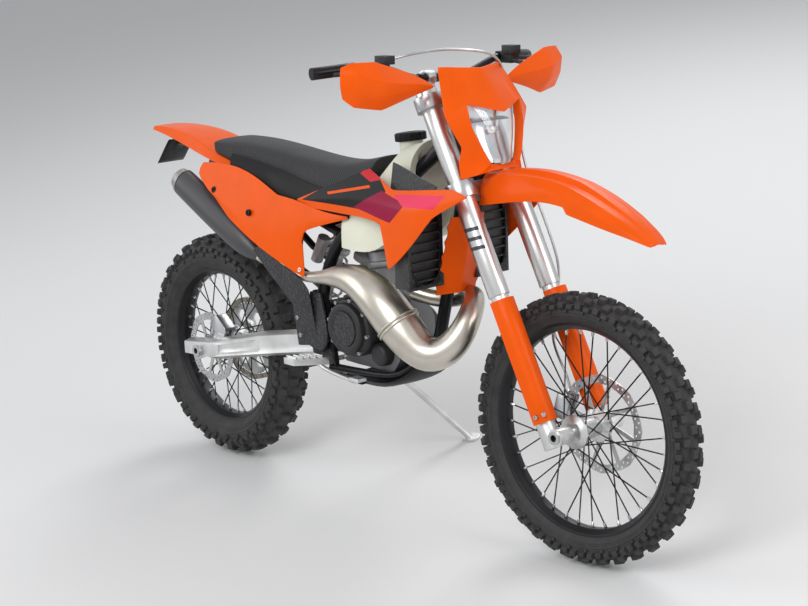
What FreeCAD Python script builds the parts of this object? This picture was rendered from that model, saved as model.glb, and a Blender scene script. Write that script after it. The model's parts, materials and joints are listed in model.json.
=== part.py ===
import FreeCAD, Part
import math
import os

from FreeCAD import Vector as V

# Enduro dirt bike, in millimetres.
# It is drawn upright in the chassis frame: x = 0 at the rear axle, +X forward, +Y to the left,
# z = 0 at the ground under both wheels. At the end it is leaned onto its side stand.
# Tables of shares give places as parts of the chassis's length, half width and height.

# Overall geometry
WHEELBASE = 1482.0
HEAD_ANGLE = 63.5
STEER_OFFSET = 57.0
CLAMP_OFFSET = 22.0
FORK_REACH = 482.0
CHASSIS_LENGTH = WHEELBASE - FORK_REACH
CHASSIS_HEIGHT = 1000.0
CHASSIS_HALF = 100.0
LEAN = 10.0
STEER_REST = 3.84
STEER_LOCK = 40.0
GAP = 0.3
OVERRUN = 20.0
SKIN = 3.0
ROUND_SIDES = 10
WIDE_SIDES = 14
PEG_SIDES = 6

# Wheels: radius to the lugs' tips, half width over the lugs, and the rim
FRONT_RADIUS = 350.0
FRONT_HALF_WIDTH = 45.0
FRONT_RIM_RADIUS = 272.0
FRONT_RIM_HALF = 26.0
REAR_RADIUS = 340.0
REAR_HALF_WIDTH = 62.0
REAR_RIM_RADIUS = 234.0
REAR_RIM_HALF = 33.0
LUG_HEIGHT = 14.0
LUG_ROWS = 22
RIM_FACETS = 32
RIM_WALL = 4.0
RIM_FLANGE = 8.0
RIM_DEPTH = 16.0
SPOKES = 36
SPOKE_RADIUS = 2.2
SPOKE_SLANT = 62.0
HUB_FACETS = 12
FRONT_HUB_HALF = 55.0
REAR_HUB_HALF = 62.0
HUB_FLANGE_RADIUS = 44.0
HUB_WAIST_RADIUS = 26.0
FLANGE_THICK = 7.0
AXLE_RADIUS = 12.5
AXLE_BORE = 9.0
RUNNING = 0.05

# Brakes
FRONT_DISC_RADIUS = 130.0
REAR_DISC_RADIUS = 110.0
DISC_THICK = 3.0
DISC_BAND = 24.0
DISC_WAVE = 5.0
DISC_LOBES = 8
DISC_ARM_WIDTH = 12.0
FRONT_DISC_Y = 61.0
REAR_DISC_Y = -70.0
CALIPER_LENGTH = 70.0
CALIPER_WIDTH = 38.0
CALIPER_HEIGHT = 46.0
PAD_GAP = 5.2

# Chain drive on the left
CHAIN_PITCH = 15.875
REAR_TEETH = 48
FRONT_TEETH = 13
CHAIN_Y = 82.0
CHAIN_HALF_WIDTH = 8.0
INNER_LINK_HALF = 6.0
CHAIN_HALF_HEIGHT = 7.5
SPROCKET_THICK = 6.0
SPROCKET_RUN = 1.5
TOOTH_DEPTH = 6.0
COUNTERSHAFT_SHARES = (0.652, 0.452)
COUNTERSHAFT_RADIUS = 11.0

# Fork and steering: distances along the steering axis from its foot
FORK_Y = 98.0
OUTER_TUBE_RADIUS = 29.0
INNER_TUBE_RADIUS = 24.0
TUBE_TOP = 945.0
TUBE_BOTTOM = 385.0
LEG_TOP = 645.0
LEG_BOTTOM = -22.0
LUG_TOP = 80.0
LUG_RADIUS = 25.5
AXLE_NOSE_RADIUS = 24.0
AXLE_NOSE_HALF = 24.0
CAP_DEPTH = 10.0
CLAMP_WALL = 12.0
UPPER_CLAMP = (895.0, 930.0)
LOWER_CLAMP = (648.0, 690.0)
STEM_RADIUS = 15.0
HEAD_TUBE_RADIUS = 31.0
HEAD_TUBE_PLAY = 5.0
BAR_LEVEL = 990.0
BAR_RADIUS = 11.0
BAR_CENTRE_RADIUS = 14.0
BAR_CENTRE_HALF = 85.0
BAR_STRAIGHT = 105.0
BAR_RISE = 44.0
BAR_DROP = 14.0
BAR_BEND_Y = 225.0
BAR_SWEEP = 58.0
BAR_HALF = 405.0
RISER_Y = 50.0
RISER_HALF = 13.0
RISER_RADIUS = 22.0
RISER_POST_RADIUS = 12.0
GRIP_RADIUS = 16.5
GRIP_LENGTH = 120.0

# Frame and swingarm
SPAR_RADIUS = 19.0
CRADLE_RADIUS = 12.0
RAIL_RADIUS = 12.0
CROSS_RADIUS = 10.0
TUBE_SIDES = 8
PIVOT_SHARES = (0.585, 0.440)
PIVOT_BOLT_RADIUS = 14.0
PIVOT_BOLT_HEIGHT = 6.0
PIVOT_TUBE_RADIUS = 22.0
PLATE_Y = 96.0
PLATE_THICK = 14.0
ARM_INNER_Y = 94.0
ARM_OUTER_Y = 122.0
AXLE_NUT_RADIUS = 19.0
AXLE_NUT_REACH = 10.0

# Stand
STAND_PIVOT_SHARES = (0.540, 1.18, 0.372)
STAND_RADIUS = 11.0
STAND_EYE_RADIUS = 15.0
STAND_EYE_HALF = 12.0
STAND_PIN_RADIUS = 6.0
STAND_WASHER = 4.0
STAND_BOSS = 16.0
STAND_ARM_RADIUS = 9.0
STAND_FOOT_RADIUS = 27.0
STAND_FOOT_THICK = 8.0
STAND_REACH_X = 95.0
STAND_REACH_Y = 232.0
STAND_STOWED_SHARES = (-0.972, 0.13, 0.19)
STAND_ARM_END_SHARES = (0.562, 1.02, 0.426)

HEAD = math.radians(HEAD_ANGLE)
AXIS_UP = V(-math.cos(HEAD), 0, math.sin(HEAD))
AXIS_OUT = V(math.sin(HEAD), 0, math.cos(HEAD))
Y_AXIS = V(0, 1, 0)
REAR_AXLE = V(0, 0, REAR_RADIUS)
FRONT_AXLE = V(WHEELBASE, 0, FRONT_RADIUS)
AXIS_FOOT = FRONT_AXLE - AXIS_OUT * STEER_OFFSET


# Places

def spot(along, side, up):
    """A place on the chassis, from its shares of the length, half width and height."""
    return V(along * CHASSIS_LENGTH, side * CHASSIS_HALF, up * CHASSIS_HEIGHT)


def on_axis(up, out=0.0, side=0.0):
    """A place by its distance up the steering axis, ahead of it and to the left."""
    return AXIS_FOOT + AXIS_UP * up + AXIS_OUT * out + Y_AXIS * side


def grip_spot(ahead, inboard, up):
    """A place on the right of the bar: the share across is measured from the bar's end."""
    middle = front_spot(ahead, 0, up)
    return V(middle.x, inboard * CHASSIS_HALF - BAR_HALF, middle.z)


def front_spot(ahead, side, up):
    """A place on what the steering carries, in shares from the lower clamp's middle."""
    return on_axis((LOWER_CLAMP[0] + LOWER_CLAMP[1]) / 2) + spot(ahead, side, up)


# Solids

def turned(start, end, radius):
    """A true round bar, for pins and bores."""
    way = end - start
    return Part.makeCylinder(radius, way.Length, start, way)


def turned_across(centre, y0, y1, radius):
    """A true round bar that lies across the bike."""
    return turned(V(centre.x, min(y0, y1), centre.z), V(centre.x, max(y0, y1), centre.z), radius)


def cylinder(start, end, radius, sides=ROUND_SIDES):
    """A bar with flat sides from one point to another."""
    return polygon_face(rings_along([start, end], [radius] * 2, sides)[0]).extrude(end - start)


def pipe(start, end, outer, inner):
    """A tube with flat sides, open at both ends."""
    step = V(end - start).normalize() * OVERRUN
    hollow = cylinder(start - step, end + step, inner, WIDE_SIDES)
    return cylinder(start, end, outer, WIDE_SIDES).cut(hollow)


def across(centre, y0, y1, radius, sides=ROUND_SIDES):
    """A bar with flat sides that lies across the bike."""
    return cylinder(V(centre.x, min(y0, y1), centre.z), V(centre.x, max(y0, y1), centre.z), radius, sides)


def polygon_face(corners):
    return Part.Face(Part.makePolygon(list(corners) + [corners[0]]))


def prism(shares, y0, y1):
    """A flat plate with a side outline in shares, between two distances across."""
    corners = [spot(along, 0, up) + Y_AXIS * y0 for along, up in shares]
    return polygon_face(corners).extrude(Y_AXIS * (y1 - y0))


def block(low, high):
    """A box between two corners."""
    size = high - low
    return Part.makeBox(size.x, size.y, size.z, low)


def flat_faces(corners):
    """One face if the corners lie in a plane, or else triangles."""
    first, second, third, fourth = corners
    if first.isEqual(second, 0) or third.isEqual(fourth, 0):
        return triangles([(first, third, fourth), (first, second, third)])
    normal = V(third - first).cross(fourth - second)
    if normal.Length and abs(V(second - first).dot(normal) / normal.Length) * FLAT_ORDER < 1.0:
        return [polygon_face(corners)]
    if (first - third).Length > (second - fourth).Length:
        return triangles([(first, second, fourth), (second, third, fourth)])
    return triangles([(first, second, third), (first, third, fourth)])


FLAT_ORDER = 1.0e6


def triangles(groups):
    return [polygon_face(group) for group in groups
            if V(group[1] - group[0]).cross(group[2] - group[0]).Length * FLAT_ORDER > 1.0]


def stacked(rings, closed=False):
    """A solid with flat facets through rings of as many corners each; closed joins the last to the first."""
    pairs = list(zip(rings, rings[1:]))
    if closed:
        pairs.append((rings[-1], rings[0]))
    faces = []
    for here, there in pairs:
        count = len(here)
        for index in range(count):
            after = (index + 1) % count
            faces += flat_faces([here[index], here[after], there[after], there[index]])
    if not closed:
        faces += [polygon_face(rings[0]), polygon_face(rings[-1])]
    return sewn(faces)


def sewn(faces):
    shell = Part.Shell(faces)
    shell.sewShape()
    solid = Part.Solid(shell.Shells[0])
    if solid.Volume < 0:
        solid.reverse()
    return solid


def rings_along(places, radii, sides):
    """Flat rings of corners across a bent line, without twist."""
    ways = [V(after - before).normalize() for before, after in zip(places, places[1:])]
    turns = [ways[0]] + [V(one + two).normalize() for one, two in zip(ways, ways[1:])] + [ways[-1]]
    side = V(turns[0].cross(Y_AXIS if abs(turns[0].y) < 0.9 else V(1, 0, 0))).normalize()
    rings = []
    for place, way, radius in zip(places, turns, radii):
        side = V(side - way * side.dot(way)).normalize()
        up = way.cross(side)
        angles = [2 * math.pi * (turn + 0.5) / sides for turn in range(sides)]
        rings.append([place + side * (radius * math.cos(angle)) + up * (radius * math.sin(angle))
                      for angle in angles])
    return rings


def tube(places, radius, sides=TUBE_SIDES):
    """A bent bar with flat facets."""
    return stacked(rings_along(places, [radius] * len(places), sides))


def mirrored(shape):
    """The same piece on the other side of the bike."""
    return shape.mirror(V(0, 0, 0), Y_AXIS)


def both_sides(shape):
    return Part.Compound([shape, mirrored(shape)])


def fused(pieces):
    whole = pieces[0]
    if len(pieces) > 1:
        whole = whole.fuse(pieces[1:])
    return whole.removeSplitter()


def largest(shape):
    return max(shape.Solids, key=lambda solid: solid.Volume)


def peg(start, end, radius, carrier):
    """A stub from its carrier's surface to an end."""
    pieces = cylinder(start, end, radius, PEG_SIDES).cut(carrier)
    return min(pieces.Solids, key=lambda solid: solid.distToShape(Part.Vertex(end))[0])


def arch(stations, profile_shares, place, skin=SKIN):
    """A shell like a fender: stations give (along, edge, crown, half width); a profile bends it over."""
    rings = []
    for along, edge, crown, half in stations:
        outer = [place(along, side * half, edge + rise * (crown - edge)) for side, rise in profile_shares]
        centre = place(along, 0, edge)
        inner = []
        for corner in reversed(outer):
            inward = V(0, centre.y - corner.y, 0)
            step = inward.normalize() * skin if inward.Length > skin else V(0, 0, 0)
            top = skin if corner.z - centre.z > skin else 0.0
            inner.append(corner + step - V(0, 0, top))
        rings.append(outer + inner)
    return stacked(rings)


# Wheels

TYRE_SHOULDER_SHARE = 0.84
TYRE_BELLY_SHARE = 0.42
TYRE_CENTRE_SHARE = 0.36
TYRE_CHANNEL_SHARE = 0.56
TYRE_CROWN_SHARE = 0.84


def tyre(radius, half_width, rim_radius, rim_half):
    """A tyre with three rows of lugs; the middle row sits between the outer two's gaps."""
    sectors = 2 * LUG_ROWS
    bore = (rim_radius + GAP) / math.cos(math.pi / sectors)
    depth = radius - rim_radius
    tread = radius - LUG_HEIGHT
    low_shoulder = rim_radius + TYRE_SHOULDER_SHARE * depth - LUG_HEIGHT
    belly = rim_radius + TYRE_BELLY_SHARE * depth
    side = [(bore, -rim_half + RIM_WALL + GAP), (bore + RIM_FLANGE + GAP, -rim_half + RIM_WALL + GAP),
            (belly, -half_width + RIM_WALL)]
    outer = [(low_shoulder, -half_width + RIM_WALL), (tread, -TYRE_CROWN_SHARE * half_width),
             (tread, -TYRE_CHANNEL_SHARE * half_width)]
    outer_lug = [(low_shoulder + LUG_HEIGHT, -half_width), (radius - RIM_WALL, -TYRE_CROWN_SHARE * half_width),
                 (radius, -TYRE_CHANNEL_SHARE * half_width)]
    middle = (tread, -TYRE_CENTRE_SHARE * half_width)
    middle_lug = (radius, -TYRE_CENTRE_SHARE * half_width)
    other = [(r, -y) for r, y in reversed(side)]

    def row(corners):
        return [(r, -y) for r, y in reversed(corners)]
    wide = side + [outer[0]] + outer_lug + [outer[-1]] + row([outer[-1]]) + row(outer_lug) + row([outer[0]]) + other
    narrow = side + outer + [middle, middle_lug] + row([middle, middle_lug]) + row(outer) + other
    walls = {True: [[outer[0]] + outer_lug + [outer[-1], outer[1]], row([outer[0]] + outer_lug + [outer[-1], outer[1]])],
             False: [[middle, middle_lug] + row([middle, middle_lug])]}
    return castellated(wide, narrow, walls, sectors)


def castellated(wide, narrow, walls, sectors):
    """A ring whose section changes from sector to sector, with flat walls between."""
    def corner(place, turn):
        angle = 2 * math.pi * turn / sectors
        return V(-place[0] * math.sin(angle), place[1], -place[0] * math.cos(angle))
    faces = []
    for turn in range(sectors):
        section = wide if turn % 2 else narrow
        for here, there in zip(section, section[1:] + section[:1]):
            faces.append(polygon_face([corner(here, turn), corner(there, turn), corner(there, turn + 1),
                                       corner(here, turn + 1)]))
        for wall in walls[True] + walls[False]:
            faces.append(polygon_face([corner(place, turn) for place in wall]))
    return sewn(faces)


RIM_DROP_SHARE = 0.45


def rim(rim_radius, rim_half):
    """A channel rim with two flanges."""
    drop = rim_radius - RIM_DEPTH
    section = [(drop, -RIM_DROP_SHARE * rim_half), (rim_radius - RIM_WALL, -rim_half),
               (rim_radius + RIM_FLANGE, -rim_half), (rim_radius + RIM_FLANGE, -rim_half + RIM_WALL),
               (rim_radius, -rim_half + RIM_WALL), (drop + RIM_WALL, -RIM_DROP_SHARE * rim_half)]
    section += [(r, -y) for r, y in reversed(section)]
    return wheel_ring(section, RIM_FACETS)


def wheel_ring(section, count, offset=0.0):
    """A ring about the wheel's axis with flat facets, from a section of (radius, y) corners."""
    rings = []
    for turn in range(count):
        angle = 2 * math.pi * (turn + offset) / count
        rings.append([V(-r * math.sin(angle), y, -r * math.cos(angle)) for r, y in section])
    return stacked(rings, True)


def hub(rim_radius, half_length):
    """A waisted hub with its laced spokes, bored for its axle."""
    flange = half_length - 2 * FLANGE_THICK
    core = AXLE_RADIUS - FLANGE_THICK
    profile = [(core, -half_length), (HUB_WAIST_RADIUS, -half_length), (HUB_WAIST_RADIUS, -flange - FLANGE_THICK),
               (HUB_FLANGE_RADIUS, -flange - FLANGE_THICK), (HUB_FLANGE_RADIUS, -flange),
               (HUB_WAIST_RADIUS, -flange + FLANGE_THICK)]
    profile += [(r, -y) for r, y in reversed(profile)]
    body = wheel_ring(profile, HUB_FACETS)
    rim_flat = (rim_radius - RIM_DEPTH) * math.cos(math.pi / RIM_FACETS) - SPOKE_RADIUS * SPOKE_TIP_SHARE
    spokes = [spoke(index, rim_flat, flange) for index in range(SPOKES)]
    bore = turned(V(0, -2 * half_length, 0), V(0, 2 * half_length, 0), AXLE_RADIUS + RUNNING)
    return body.fuse(spokes).cut(bore)


SPOKE_TIP_SHARE = 0.5


def spoke(index, rim_radius, flange):
    """One spoke, leaving the hub's flange at a slant, on alternate sides and slants."""
    side = 1 if index % 2 else -1
    slant = 1 if index % 4 < 2 else -1
    rim_angle = 2 * math.pi * (index + 0.5) / SPOKES
    hub_angle = rim_angle + slant * math.radians(SPOKE_SLANT)
    low = HUB_FLANGE_RADIUS - FLANGE_THICK
    start = V(low * math.sin(hub_angle), side * (flange + FLANGE_THICK / 2), low * math.cos(hub_angle))
    end = V(rim_radius * math.sin(rim_angle), 0, rim_radius * math.cos(rim_angle))
    return cylinder(start, end, SPOKE_RADIUS, 3)


def disc(radius, y, hub_end):
    """A wave disc on arms, carried on the hub's end."""
    inner = radius - DISC_BAND
    low = y - DISC_THICK / 2
    steps = 4 * DISC_LOBES
    outer = []
    for turn in range(steps):
        angle = 2 * math.pi * turn / steps
        reach = radius - DISC_WAVE / 2 + DISC_WAVE / 2 * math.cos(DISC_LOBES * angle)
        outer.append(V(reach * math.sin(angle), low, reach * math.cos(angle)))
    plate = polygon_face(outer).extrude(Y_AXIS * DISC_THICK)
    centre_radius = HUB_FLANGE_RADIUS - FLANGE_THICK
    windows = [disc_window(index, centre_radius, inner, low) for index in range(DISC_LOBES)]
    near_face = low if y > 0 else low + DISC_THICK
    collar = wheel_ring([(AXLE_RADIUS + FLANGE_THICK, hub_end), (HUB_WAIST_RADIUS, hub_end),
                         (HUB_WAIST_RADIUS, near_face), (AXLE_RADIUS + FLANGE_THICK, near_face)], HUB_FACETS)
    hole = wheel_ring([(0, low - OVERRUN), (AXLE_RADIUS + FLANGE_THICK, low - OVERRUN),
                       (AXLE_RADIUS + FLANGE_THICK, low + OVERRUN), (0, low + OVERRUN)], HUB_FACETS)
    return plate.cut(windows + [hole]).fuse(collar).removeSplitter()


def disc_window(index, low_radius, high_radius, low):
    """The opening between two swept arms."""
    half = math.pi / DISC_LOBES
    middle = 2 * math.pi * (index + 0.5) / DISC_LOBES
    corners = []
    for radius, lead in ((low_radius, 0.0), (high_radius, DISC_SWEEP_SHARE * half)):
        margin = DISC_ARM_WIDTH / 2 / radius
        ends = [middle + lead - half + margin, middle + lead, middle + lead + half - margin]
        if radius == high_radius:
            ends.reverse()
        corners += [V(radius * math.sin(angle), low - OVERRUN, radius * math.cos(angle)) for angle in ends]
    return polygon_face(corners).extrude(Y_AXIS * (2 * OVERRUN))


DISC_SWEEP_SHARE = 0.6


def pitch_radius(teeth):
    return CHAIN_PITCH / (2 * math.sin(math.pi / teeth))


def toothed(teeth, tip, y0, y1):
    """A toothed plate about the y axis."""
    corners = []
    for turn in range(2 * teeth):
        angle = math.pi * turn / teeth
        reach = tip if turn % 2 else tip - TOOTH_DEPTH
        corners.append(V(reach * math.sin(angle), y0, reach * math.cos(angle)))
    return polygon_face(corners).extrude(Y_AXIS * (y1 - y0))


SPROCKET_HOLE_SHARE = 0.2
SPROCKET_HOLE_PLACE_SHARE = 0.68
SPROCKET_HOLES = 6


def sprocket():
    """The rear sprocket, which turns inside the chain's loop."""
    tip = pitch_radius(REAR_TEETH) - CHAIN_HALF_HEIGHT - SPROCKET_RUN
    low = CHAIN_Y - SPROCKET_THICK / 2
    plate = toothed(REAR_TEETH, tip, low, low + SPROCKET_THICK)
    windows = []
    for index in range(SPROCKET_HOLES):
        angle = 2 * math.pi * (index + 0.5) / SPROCKET_HOLES
        reach = SPROCKET_HOLE_PLACE_SHARE * tip
        centre = V(reach * math.sin(angle), low - OVERRUN, reach * math.cos(angle))
        ring = rings_along([centre, centre + Y_AXIS * (3 * OVERRUN)], [SPROCKET_HOLE_SHARE * tip] * 2, HUB_FACETS // 2)
        windows.append(stacked(ring))
    bore = AXLE_RADIUS + 2 * FLANGE_THICK
    hole = wheel_ring([(0, low - OVERRUN), (bore, low - OVERRUN), (bore, low + 2 * OVERRUN),
                       (0, low + 2 * OVERRUN)], HUB_FACETS)
    collar = wheel_ring([(bore, REAR_HUB_HALF), (HUB_FLANGE_RADIUS, REAR_HUB_HALF), (HUB_FLANGE_RADIUS, low),
                         (bore, low)], HUB_FACETS)
    return plate.cut(windows + [hole]).fuse(collar).removeSplitter()


def chain_line():
    """The middle line of the chain's loop as evenly spaced joints: (place, outward direction)."""
    big, small = pitch_radius(REAR_TEETH), pitch_radius(FRONT_TEETH)
    front = spot(COUNTERSHAFT_SHARES[0], 0, COUNTERSHAFT_SHARES[1])
    span = (front - REAR_AXLE).Length
    slope = math.atan2(front.z - REAR_AXLE.z, front.x - REAR_AXLE.x)
    lead = math.acos((big - small) / span)
    run = math.sqrt(span ** 2 - (big - small) ** 2)
    front_wrap = 2 * lead
    rear_wrap = 2 * math.pi - 2 * lead
    total = 2 * run + small * front_wrap + big * rear_wrap
    count = 2 * round(total / CHAIN_PITCH / 2)
    joints = []
    for index in range(count):
        way = total * index / count
        if way < run:
            angle, centre, radius = slope + lead, REAR_AXLE, big
            slip = way
        elif way < run + small * front_wrap:
            angle, centre, radius = slope + lead - (way - run) / small, front, small
            slip = 0.0
        elif way < 2 * run + small * front_wrap:
            angle, centre, radius = slope - lead, front, small
            slip = way - run - small * front_wrap
        else:
            angle, centre, radius = slope - lead - (way - 2 * run - small * front_wrap) / big, REAR_AXLE, big
            slip = 0.0
        out = V(math.cos(angle), 0, math.sin(angle))
        along = V(out.z, 0, -out.x)
        joints.append((centre + out * radius + along * slip, out))
    return joints


def chain():
    """The chain as one closed loop of outer and inner links."""
    joints = chain_line()
    faces = []
    count = len(joints)

    def corner(index, rise, side):
        place, out = joints[index % count]
        return place + out * (rise * CHAIN_HALF_HEIGHT) + Y_AXIS * (CHAIN_Y + side)
    for index in range(count):
        half = CHAIN_HALF_WIDTH if index % 2 else INNER_LINK_HALF
        ring = [(-1, -half), (1, -half), (1, half), (-1, half)]
        for here, there in zip(ring, ring[1:] + ring[:1]):
            faces.append(polygon_face([corner(index, *here), corner(index, *there), corner(index + 1, *there),
                                       corner(index + 1, *here)]))
        for side in (-1, 1):
            faces.append(polygon_face([corner(index, -1, side * INNER_LINK_HALF),
                                       corner(index, 1, side * INNER_LINK_HALF),
                                       corner(index, 1, side * CHAIN_HALF_WIDTH),
                                       corner(index, -1, side * CHAIN_HALF_WIDTH)]))
    return sewn(faces)


# The chassis

SPAR_SHARES = [(0.905, -0.70, 0.925), (0.800, -0.82, 0.862), (0.690, -0.90, 0.790), (0.628, -0.91, 0.715),
               (0.592, -0.92, 0.640), (0.576, -1.01, 0.540)]
SPAR_TOP = 830.0
DOWN_TUBE_TOP = 748.0
DOWN_TUBE_SHARES = [(0.968, 0, 0.560), (0.957, 0, 0.515), (0.935, 0, 0.470)]
CRADLE_SHARES = [(0.950, -0.06, 0.495), (0.930, -0.36, 0.455), (0.890, -0.64, 0.412), (0.850, -0.75, 0.390),
                 (0.700, -0.84, 0.384), (0.612, -1.04, 0.388)]
PLATE_SHARES = [(0.545, 0.400), (0.640, 0.396), (0.630, 0.470), (0.604, 0.600), (0.552, 0.600), (0.532, 0.470)]
FRAME_CROSS_SHARES = (0.596, 0.560)
FRAME_CROSS_RADIUS = 13.0


def spar(radius):
    return tube([on_axis(SPAR_TOP, -RAIL_RADIUS, -RAIL_RADIUS)] + [spot(*place) for place in SPAR_SHARES], radius)


def frame():
    """Head tube, spars, down tube, cradle tubes and pivot plates."""
    plate = prism(PLATE_SHARES, -PLATE_Y - PLATE_THICK, -PLATE_Y)
    cradle = tube([spot(*place) for place in CRADLE_SHARES], CRADLE_RADIUS)
    right = fused([spar(SPAR_RADIUS), cradle, plate])
    down = tube([on_axis(DOWN_TUBE_TOP, -RAIL_RADIUS / 2)] + [spot(*place) for place in DOWN_TUBE_SHARES],
                SPAR_RADIUS)
    head = cylinder(on_axis(LOWER_CLAMP[1] + HEAD_TUBE_PLAY), on_axis(UPPER_CLAMP[0] - HEAD_TUBE_PLAY),
                    HEAD_TUBE_RADIUS, WIDE_SIDES)
    cross = across(spot(FRAME_CROSS_SHARES[0], 0, FRAME_CROSS_SHARES[1]), -PLATE_Y, PLATE_Y, FRAME_CROSS_RADIUS)
    outer = PLATE_Y + PLATE_THICK
    bolts = [across(pivot(), side * PLATE_Y, side * (outer + PIVOT_BOLT_HEIGHT), PIVOT_BOLT_RADIUS) for side in (-1, 1)]
    whole = fused([head, down, cross, right, mirrored(right)] + bolts)
    return whole.cut(turned(on_axis(LOWER_CLAMP[0]), on_axis(UPPER_CLAMP[1]), STEM_RADIUS + RUNNING))


def pivot():
    return spot(PIVOT_SHARES[0], 0, PIVOT_SHARES[1])


RAIL_SHARES = [(0.660, -0.86, 0.768), (0.500, -0.78, 0.808), (0.330, -0.76, 0.842), (0.190, -0.75, 0.878),
               (0.060, -0.74, 0.920)]
STRUT_SHARES = [(0.584, -0.92, 0.600), (0.520, -0.66, 0.616), (0.340, -0.60, 0.668), (0.230, -0.64, 0.760),
                (0.120, -0.71, 0.886)]
RAIL_CROSS_SHARES = [(0.572, 0.792), (0.330, 0.842)]
TAIL_CROSS_RISE = 17.0
TAIL_CROSS_LEAD = 2.0
SHOCK_TOP_SHARES = (0.560, 0.764)


def subframe():
    """The rear rails with their struts and cross tubes, and the number plate's bracket."""
    rail = tube([spot(*place) for place in RAIL_SHARES], RAIL_RADIUS)
    strut = tube([spot(*place) for place in STRUT_SHARES], RAIL_RADIUS)
    plate = prism(PLATE_SHARES, -PLATE_Y - PLATE_THICK - GAP, -PLATE_Y + GAP)
    right = fused([rail, strut]).cut([spar(SPAR_RADIUS + GAP), plate])
    half = -RAIL_SHARES[-1][1] * CHASSIS_HALF
    crosses = [across(spot(along, 0, up), -half, half, CROSS_RADIUS) for along, up in RAIL_CROSS_SHARES]
    crosses.append(across(tail_cross(), -half, half, CROSS_RADIUS))
    whole = largest(right)
    return fused([whole, mirrored(whole), plate_bracket()] + crosses)


def tail_cross():
    """The middle of the last cross tube, on the rails' ends."""
    along, side, up = RAIL_SHARES[-1]
    return spot(along, 0, up) + V(TAIL_CROSS_LEAD, 0, TAIL_CROSS_RISE)


BRACKET_SHARES = [(0.066, 0.944), (-0.060, 0.960), (-0.214, 0.962), (-0.262, 0.905), (-0.246, 0.902),
                  (-0.204, 0.944), (-0.060, 0.944), (0.060, 0.930)]
BRACKET_HALF = 14.0
PLATE_HOLDER_SHARES = [(-0.196, 0.960), (-0.262, 0.880)]
PLATE_HOLDER_HALF = 48.0
PLATE_HOLDER_THICK = 5.0


def plate_bracket():
    """The number plate's bracket, back from the last cross tube under the tail."""
    arm = prism(BRACKET_SHARES, -BRACKET_HALF, BRACKET_HALF)
    rings = []
    for along, up in PLATE_HOLDER_SHARES:
        edge = spot(along, 0, up)
        rings.append([edge - Y_AXIS * PLATE_HOLDER_HALF, edge + Y_AXIS * PLATE_HOLDER_HALF,
                      edge + V(PLATE_HOLDER_THICK, PLATE_HOLDER_HALF, 0),
                      edge + V(PLATE_HOLDER_THICK, -PLATE_HOLDER_HALF, 0)])
    return fused([arm, stacked(rings)])


ARM_STATION_SHARES = [(-0.120, 0.012, 0.0, 0.026), (0.103, 0.0, 0.0, 0.032), (0.513, 0.011, -0.06, 0.038),
                      (0.786, 0.011, -0.26, 0.037), (1.034, 0.0, -0.48, 0.026)]
ARM_BEVEL_SHARE = 0.7
BRIDGE_SHARES = [(0.735, -0.74, -0.034), (0.821, 0.74, 0.026)]
ARM_POCKET_SHARES = [(0.17, 0.014), (0.17, -0.010), (0.48, -0.004), (0.48, 0.028)]
ARM_POCKET_DEPTH = 6.0


def swingarm():
    """Two tapered beams joined ahead of the tyre, on a pivot tube between the plates, bored for the axle."""
    beam = stacked([beam_section(*station) for station in ARM_STATION_SHARES])
    corners = [arm_spot(*place) - Y_AXIS * (ARM_OUTER_Y + 2 * ARM_POCKET_DEPTH) for place in ARM_POCKET_SHARES]
    beam = beam.cut(polygon_face(corners).extrude(Y_AXIS * (3 * ARM_POCKET_DEPTH)))
    bridge = block(*bridge_corners())
    pivot_tube = across(pivot(), -PLATE_Y + GAP, PLATE_Y - GAP, PIVOT_TUBE_RADIUS)
    whole = fused([beam, mirrored(beam), bridge, pivot_tube])
    return whole.cut(turned_across(REAR_AXLE, -2 * ARM_OUTER_Y, 2 * ARM_OUTER_Y, AXLE_RADIUS))


def arm_spot(along, rise):
    """A place in the bike's middle, by its share of the way from the axle to the pivot and its rise."""
    return REAR_AXLE + (pivot() - REAR_AXLE) * along + spot(0, 0, rise)


def bridge_corners():
    """The low rear and high front corners of the bridge between the beams."""
    (back, low_side, drop), (front, high_side, rise) = BRIDGE_SHARES
    middle = arm_spot((back + front) / 2, 0)
    low, high = arm_spot(back, 0), arm_spot(front, 0)
    return (V(low.x, low_side * CHASSIS_HALF, middle.z + drop * CHASSIS_HEIGHT),
            V(high.x, high_side * CHASSIS_HALF, middle.z + rise * CHASSIS_HEIGHT))


def beam_section(along, rise, shift, half_height):
    """The right beam's section, a box with a bevelled outer side."""
    centre = arm_spot(along, rise)
    inner = V(centre.x, -ARM_INNER_Y - shift * CHASSIS_HALF, centre.z)
    outer = V(centre.x, -ARM_OUTER_Y - shift * CHASSIS_HALF, centre.z)
    up = spot(0, 0, half_height)
    return [inner - up, outer - up * ARM_BEVEL_SHARE, outer + up * ARM_BEVEL_SHARE, inner + up]


# The engine

CASE_SHARES = [(0.628, 0.500), (0.640, 0.404), (0.700, 0.402), (0.840, 0.402), (0.868, 0.440), (0.862, 0.540),
               (0.820, 0.600), (0.700, 0.612), (0.640, 0.590)]
CASE_RIGHT_Y = -72.0
CASE_LEFT_Y = 66.0
CASE_RIB_SHARES = [(0.640, 0.398), (0.846, 0.396), (0.878, 0.438), (0.870, 0.546), (0.824, 0.606), (0.640, 0.600)]
CASE_RIB_HALF = 4.0
MOUNT_LUG_SHARES = [(0.602, -0.40, 0.552), (0.650, 0.40, 0.574)]
INTAKE_SHARES = [(0.735, 0.0, 0.655), (0.690, 0.0, 0.672)]
INTAKE_RADIUS = 24.0
FLOAT_BOWL_SHARES = [(0.640, -0.24, 0.622), (0.682, 0.24, 0.668)]
THROAT_SHARES = [(0.692, 0.0, 0.676), (0.628, 0.0, 0.694)]
THROAT_RADIUS = 21.0
STARTER_SHARES = [(0.640, 0.612), (0.700, 0.632)]


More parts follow.
